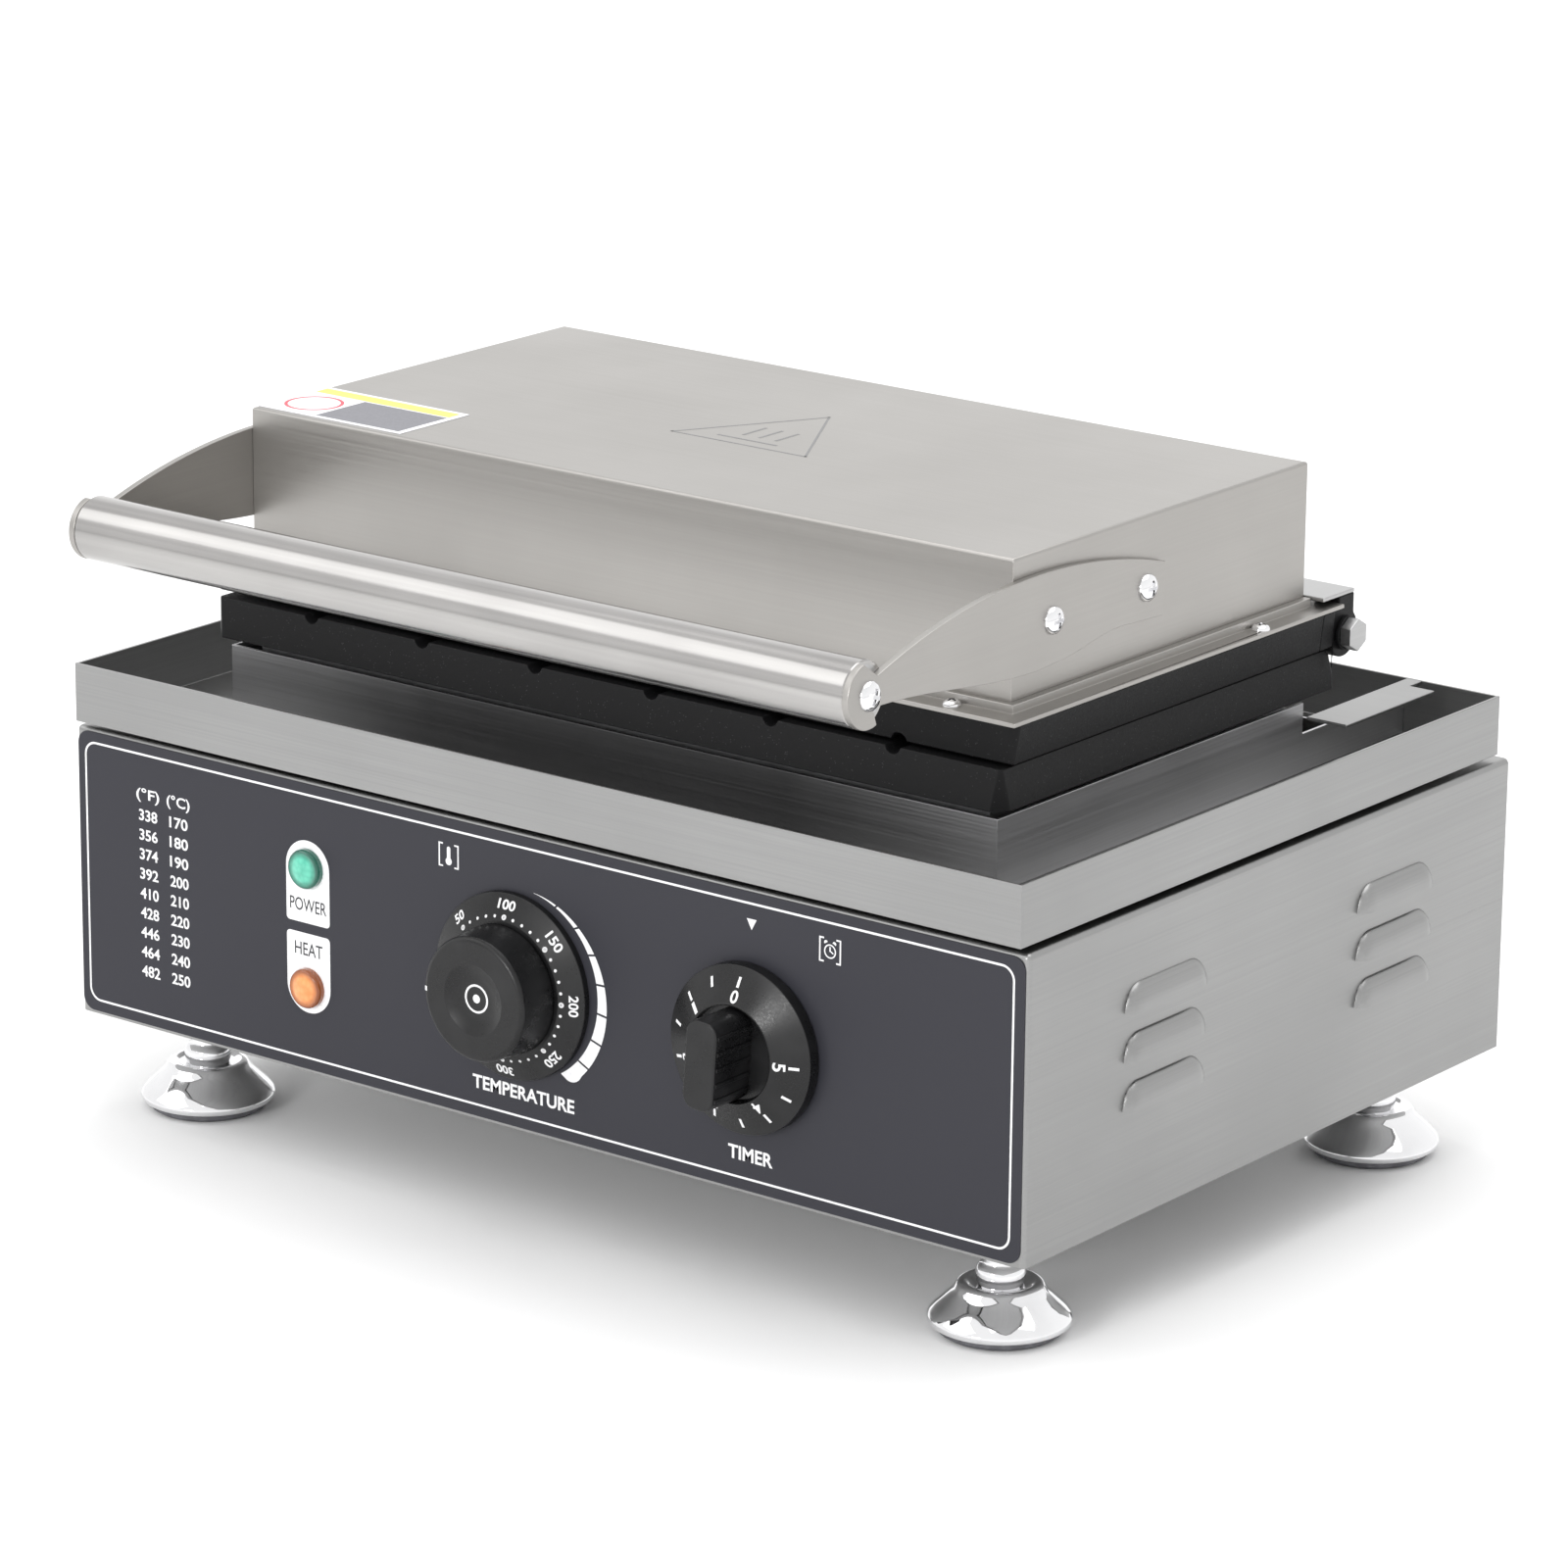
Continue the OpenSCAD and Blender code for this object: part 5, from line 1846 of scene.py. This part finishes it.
@dataclass
class Lid:
    """The lid box with its flange, label and hinge strip, and its pressed mark drawn in painted shade."""

    trees: Trees
    ink: Print = field(default_factory=Print)

    def box(self) -> None:
        """Bends the lid's box, open below, with the conduit hole in its back."""
        y1 = LID_Y0 + LID_D
        outer = box_object("LidBox", at(-LID_W / 2, LID_Y0, LID_Z0), at(LID_W / 2, y1, LID_TOP))
        top = at(0, 0, LID_TOP - 1).z
        round_edges(outer, lambda edge: all(v.co.z > top for v in edge.verts), 0.0011, 4)
        inner = box_object(
            "c", at(-LID_W / 2 + SHEET, LID_Y0 + SHEET, LID_Z0 - 5),
            at(LID_W / 2 - SHEET, y1 - SHEET, LID_TOP - SHEET)
        )
        hole = lathe("c", [(6.0, -4), (6.0, 4)], stand(-100, y1, 195, Axis.Y), 32)
        cut(outer, [inner, hole])
        add_bevel(outer, 0.35, 2, 50)
        finish_piece(outer, "lid_steel", "lid", ["lid_box"])

    def stroke(self, points: Outline, width: float, closed: bool = False) -> list[Outline]:
        """A line of even width as small four-sided outlines, joined at its corners.

        Returns:
            The outlines.
        """
        shapes = []
        pairs = list(zip(points, points[1:])) + ([(points[-1], points[0])] if closed else [])
        for (x0, y0), (x1, y1) in pairs:
            length = math.hypot(x1 - x0, y1 - y0)
            dx, dy = (x1 - x0) / length * width / 2, (y1 - y0) / length * width / 2
            shapes.append(
                [
                    (x0 - dx - dy, y0 - dy + dx), (x0 - dx + dy, y0 - dy - dx), (x1 + dx + dy, y1 + dy - dx),
                    (x1 + dx - dy, y1 + dy + dx)
                ]
            )
        return shapes

    def mark(self) -> None:
        """A plain triangle with three short strokes, laid thin on the lid's top in dark grey: painted shade
        standing for pressed lines.
        """
        lines = self.stroke([(-29.0, 112.3), (28.5, 112.3), (0.0, 162.7)], 0.9, closed=True)
        lines += self.stroke([(-13.5, 118.5), (11.0, 118.5)], 1.1)
        for x in (-7.0, 0.0, 7.0):
            lines += self.stroke([(x, 124.0), (x, 136.0)], 1.1)
        parts = [prism("m", shape, 0.05, stand(0, 0, LID_TOP)) for shape in lines]
        finish_piece(merge("PressedMark", parts), "pressed", "lid")

    def label(self) -> None:
        """The label film at the front left corner, with plain colour fields and no words."""
        from_cad("lid_label", "label_film", "lid", bevel=0.05, name="LabelFilm")
        x0, y0 = -162.2, 49.3
        top = LID_TOP + 0.2

        def field_of(shape: Outline, name: str, key: str) -> None:
            """Lays one colour field."""
            obj = prism(name, [(x0 + x, y0 + y) for x, y in shape], 0.04, stand(0, 0, top))
            finish_piece(obj, key, "lid")

        field_of([(1.5, 28.5), (62.5, 28.5), (62.5, 34.5), (1.5, 34.5)], "LabelStripe", "yellow")
        field_of([(25.0, 2.0), (62.5, 2.0), (62.5, 27.5), (25.0, 27.5)], "LabelBlock", "grey")
        outer, inner = arc(12.8, 14.8, 10.4, 0, 354, 59), arc(12.8, 14.8, 9.2, 0, 354, 59)
        ring = self.ink.band(
            "LabelRing", [(x0 + x, y0 + y) for x, y in outer], [(x0 + x, y0 + y) for x, y in inner], 0.04
        )
        ring.data.transform(stand(0, 0, top) @ Matrix.Rotation(-math.pi / 2, 4, "X"))
        finish_piece(ring, "red", "lid")

    def build(self) -> None:
        """Builds the lid."""
        self.box()
        self.mark()
        self.label()
        from_cad("lid_flange", "lid_steel", "lid", bevel=0.35)
        from_cad("hinge_strip", "plain_steel", "lid", bevel=0.4)


@dataclass
class Handle:
    """The polished tube and its two curved arms."""

    def arm_outline(self) -> Outline:
        """The arm's side outline in (y, z), counter-clockwise.

        Returns:
            The points.
        """

        def soft(x0: float, z0: float, x1: float, z1: float, n: int) -> Outline:
            """Points on a soft step."""
            return [
                (x0 + (x1 - x0) * i / n, z0 + (z1 - z0) * (1 - math.cos(math.pi * i / n)) / 2)
                for i in range(n + 1)
            ]

        lower = soft(-30, 184.6, 58, 177.7, 24) + soft(66, 178.3, 104, 182.8, 12) + [(127.5, 181.6)]
        upper = arc(58.4, -48.5, 258, 74.2, 109.5, 40)
        nose = arc(-32, 189, 11, 104, 292, 30)
        return lower + upper + nose

    def build(self) -> None:
        """Builds the arms and the tube."""
        for side, node in ((1, "handle_arm_right"), (-1, "handle_arm_left")):
            place = stand(162.5 if side > 0 else -165.0, 0, 0) @ Matrix(
                ((0, 0, 1, 0), (1, 0, 0, 0), (0, 1, 0, 0), (0, 0, 0, 1))
            )
            arm = prism(node.title().replace("_", ""), self.arm_outline(), 2.5, place)
            add_bevel(arm, 0.35, 2, 50)
            finish_piece(arm, "lid_steel", "lid", [node])
        half = LID_W / 2
        wall = [
            (9.5, -half), (10.6, -half), (11.0, -half + 0.5), (11.0, half - 0.5), (10.6, half), (9.5, half)
        ]
        tube = lathe("HandleTube", wall, stand(0, -32, 189, Axis.X), 96, closed=True)
        finish_piece(tube, "polished_steel", "lid", ["handle_tube"])


@dataclass
class HingeHardware:
    """Bolts, washers and nuts of the hinge, and lock nuts of the feet."""

    def build(self) -> None:
        """Builds the hardware from its CAD shapes with rounded edges."""
        for node in ("hinge_bolts", "hinge_nuts"):
            from_cad(node, "plain_steel", bevel=0.3)
        from_cad("hinge_washers", "cast_coated", bevel=0.2)
        for node in ("foot_lock_nuts", "base_conduit_fitting"):
            from_cad(node, "chrome", bevel=0.3)
        from_cad("lid_conduit_fitting", "chrome", "lid", bevel=0.3)
        from_cad("cable_gland", "gland_plastic", bevel=0.4)


@dataclass
class Conduit:
    """The flexible conduit from the base to the lid, made of interlocked rings."""

    trees: Trees
    x: float = -100.0

    def build(self) -> None:
        """Lays rings along the bent path."""
        y, bend, top = 256.0, 30.0, 195.0
        path = [(y, 109.5), (y, top - bend)] + [
            (y - bend + bend * math.cos(a), top - bend + bend * math.sin(a))
            for a in (math.pi / 2 * i / 16 for i in range(1, 17))
        ] + [(217.0, top)]
        mesh = bpy.data.meshes.new("path")
        mesh.from_pydata(
            [tuple(at(self.x, py, pz)) for py, pz in path], [(i, i + 1) for i in range(len(path) - 1)], []
        )
        host = new_object("LidConduit", mesh)
        ring = lathe(
            "ring", [(3.9, -1.1), (4.6, -1.1), (4.98, -0.6), (4.98, 0.3), (4.5, 0.8), (4.5, 1.1), (3.9, 1.1)],
            Matrix.Identity(4), 24, closed=True
        )
        made = self.trees.path.run(host, ring, "conduit_steel", Pitch=0.0022)
        mesh = made.data
        mesh.shade_smooth()
        mesh.set_sharp_from_angle(angle=math.radians(40))
        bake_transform(made)
        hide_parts("lid_conduit")
        LOG.info("LidConduit: %d faces, between base and lid", len(mesh.polygons))


@dataclass
class Feet:
    """Four chromed bell feet on rubber rings."""

    inset: float = 31.0

    def bell(self) -> Outline:
        """The bell's outline from its hollow underside to the top of its stem.

        Returns:
            The points.
        """
        points = [(0.0, 3.0), (21.6, 3.0)] + arc(22.0, 5.0, 2.0, -85, 28, 10)
        points += [(22.9, 7.2), (21.0, 9.0), (18.6, 11.2), (16.4, 13.4), (15.2, 14.9)]
        points += [
            (14.5, 16.2), (13.6, 17.1), (12.4, 17.45), (11.3, 17.3), (10.4, 16.7), (9.6, 16.5), (7.5, 16.5)
        ]
        points += arc(0, 20, 8.3, -26, 8, 8) + [
            (7.9, 22.1), (7.0, 23.3), (5.5, 24.3), (5.5, 39.0), (0.0, 39.0)
        ]
        return points

    def build(self) -> None:
        """Builds the feet and their rubber rings."""
        pad = [(0.0, 0.0), (19.2, 0.0), (20.6, 0.9), (21.0, 1.6), (21.0, 3.0), (0.0, 3.0)]
        for end, y in (("front", self.inset), ("rear", BODY_D - self.inset)):
            for side, x in (("left", -BODY_W / 2 + self.inset), ("right", BODY_W / 2 - self.inset)):
                place = stand(x, y, -FOOT_H)
                body = f"levelling_foot_{end}_{side}"
                label = f"{end.title()}{side.title()}"
                finish_piece(
                    lathe(f"Foot{label}", self.bell(), place, 96), "chrome", body, [f"foot_{end}_{side}"],
                    smooth=60
                )
                finish_piece(lathe(f"Pad{label}", pad, place, 96), "pad_rubber", body, [f"pad_{end}_{side}"])


@dataclass
class Inside:
    """The carried-over CAD nodes that stay in the model, each with its finish."""

    def build(self) -> None:
        """Gives every CAD node still shown its finish."""
        slots = {part["node"]: part["material_slot"] for part in frame["record"]["subparts"]}
        for name, obj in frame["nodes"].items():
            if obj.hide_render:
                continue
            mat = material(slots[name])
            if obj.data.materials:
                for i in range(len(obj.data.materials)):
                    obj.data.materials[i] = mat
            else:
                obj.data.materials.append(mat)
            LOG.info("%s: CAD node with %s", name, slots[name])


# ---------------------------------------------------------------- studio


@dataclass
class Studio:
    """A plain pale floor, plain pale light and the camera."""

    azimuth: float = 37.66
    elevation: float = 16.60
    roll: float = 0.53
    place: tuple[float, float, float] = (1.32967, -1.71278, 0.77582)
    lens: float = 150.0

    def emitter(self, name: str, size: tuple[float, float], where: Vector, aim: Vector, power: float) -> None:
        """One large soft light that points at a spot."""
        light = bpy.data.lights.new(name, "AREA")
        light.shape = "RECTANGLE"
        light.size, light.size_y = size
        light.energy = power
        obj = bpy.data.objects.new(name, light)
        bpy.context.scene.collection.objects.link(obj)
        direction = (aim - where).normalized()
        obj.matrix_world = Matrix.Translation(where) @ direction.to_track_quat("-Z", "Y").to_matrix().to_4x4()

    def floor(self) -> None:
        """The pale floor."""
        bm = bmesh.new()
        bmesh.ops.create_grid(bm, x_segments=1, y_segments=1, size=12.0)
        obj = from_bmesh("Floor", bm)
        s = Shade("FloorPaper")
        s.put(Roughness=0.9, Base_Color=(0.86, 0.86, 0.86, 1.0), Specular_IOR_Level=0.1)
        obj.data.materials.append(s.material)

    def world(self) -> None:
        """A white surround, a little brighter at the horizon than overhead."""
        world = bpy.data.worlds.new("Surround")
        world.use_nodes = True
        tree = world.node_tree
        coords = tree.nodes.new("ShaderNodeTexCoord")
        split = tree.nodes.new("ShaderNodeSeparateXYZ")
        ramp = tree.nodes.new("ShaderNodeMapRange")
        for key, value in (("From Min", 0.05), ("From Max", 0.75), ("To Min", 1.12), ("To Max", 1.02)):
            ramp.inputs[key].default_value = value
        tree.links.new(coords.outputs["Generated"], split.inputs[0])
        tree.links.new(split.outputs["Z"], ramp.inputs["Value"])
        tree.links.new(ramp.outputs["Result"], tree.nodes["Background"].inputs["Strength"])
        tree.nodes["Background"].inputs["Color"].default_value = (1.0, 1.0, 1.0, 1.0)
        bpy.context.scene.world = world

    def camera(self) -> None:
        """The camera, level with the front view's own roll."""
        data = bpy.data.cameras.new("Camera")
        data.lens = self.lens
        data.sensor_width = 36.0
        data.clip_end = 50.0
        obj = bpy.data.objects.new("Camera", data)
        bpy.context.scene.collection.objects.link(obj)
        az, el, roll = (math.radians(v) for v in (self.azimuth, self.elevation, self.roll))
        back = Vector((math.sin(az) * math.cos(el), -math.cos(az) * math.cos(el), math.sin(el)))
        right0 = Vector((math.cos(az), math.sin(az), 0.0))
        up0 = back.cross(right0)
        right = right0 * math.cos(roll) + up0 * math.sin(roll)
        up = -right0 * math.sin(roll) + up0 * math.cos(roll)
        turn = Matrix((right, up, back)).transposed().to_4x4()
        obj.matrix_world = Matrix.Translation(Vector(self.place)) @ turn
        bpy.context.scene.camera = obj

    def build(self) -> None:
        """Sets the studio."""
        bpy.context.scene.view_settings.view_transform = "Standard"
        self.floor()
        self.world()
        self.camera()
        middle = Vector((0, 0, 0.12))
        self.emitter("KeyLight", (2.4, 1.6), Vector((-1.6, -1.6, 2.2)), middle, 14.0)
        self.emitter("TopLight", (2.6, 2.6), Vector((0.2, 0.3, 2.6)), middle, 40.0)
        self.emitter("BackLight", (3.6, 1.6), Vector((-1.7, 2.1, 1.15)), Vector((0, 0, 0.5)), 3.3)
        self.emitter("FrontLight", (0.5, 0.5), Vector((0.1, -2.2, 0.8)), middle, 13.0)


def main() -> None:
    """Builds the machine in order."""
    logging.basicConfig(level=logging.INFO, format="%(message)s", stream=sys.stdout, force=True)
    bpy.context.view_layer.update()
    trees = Trees()
    for part in (
        BaseBox(trees),
        PanelPrint(trees),
        Lamps(),
        TemperatureDial(trees),
        TimerDial(trees),
        TrayAndSkirt(),
        Plates(),
        Lid(trees),
        Handle(),
        Screws(trees),
        HingeHardware(),
        Conduit(trees),
        Feet(),
        Inside(),
        Studio(),
    ):
        part.build()
        LOG.info("%s done", type(part).__name__)


if __name__ == "__main__":
    main()
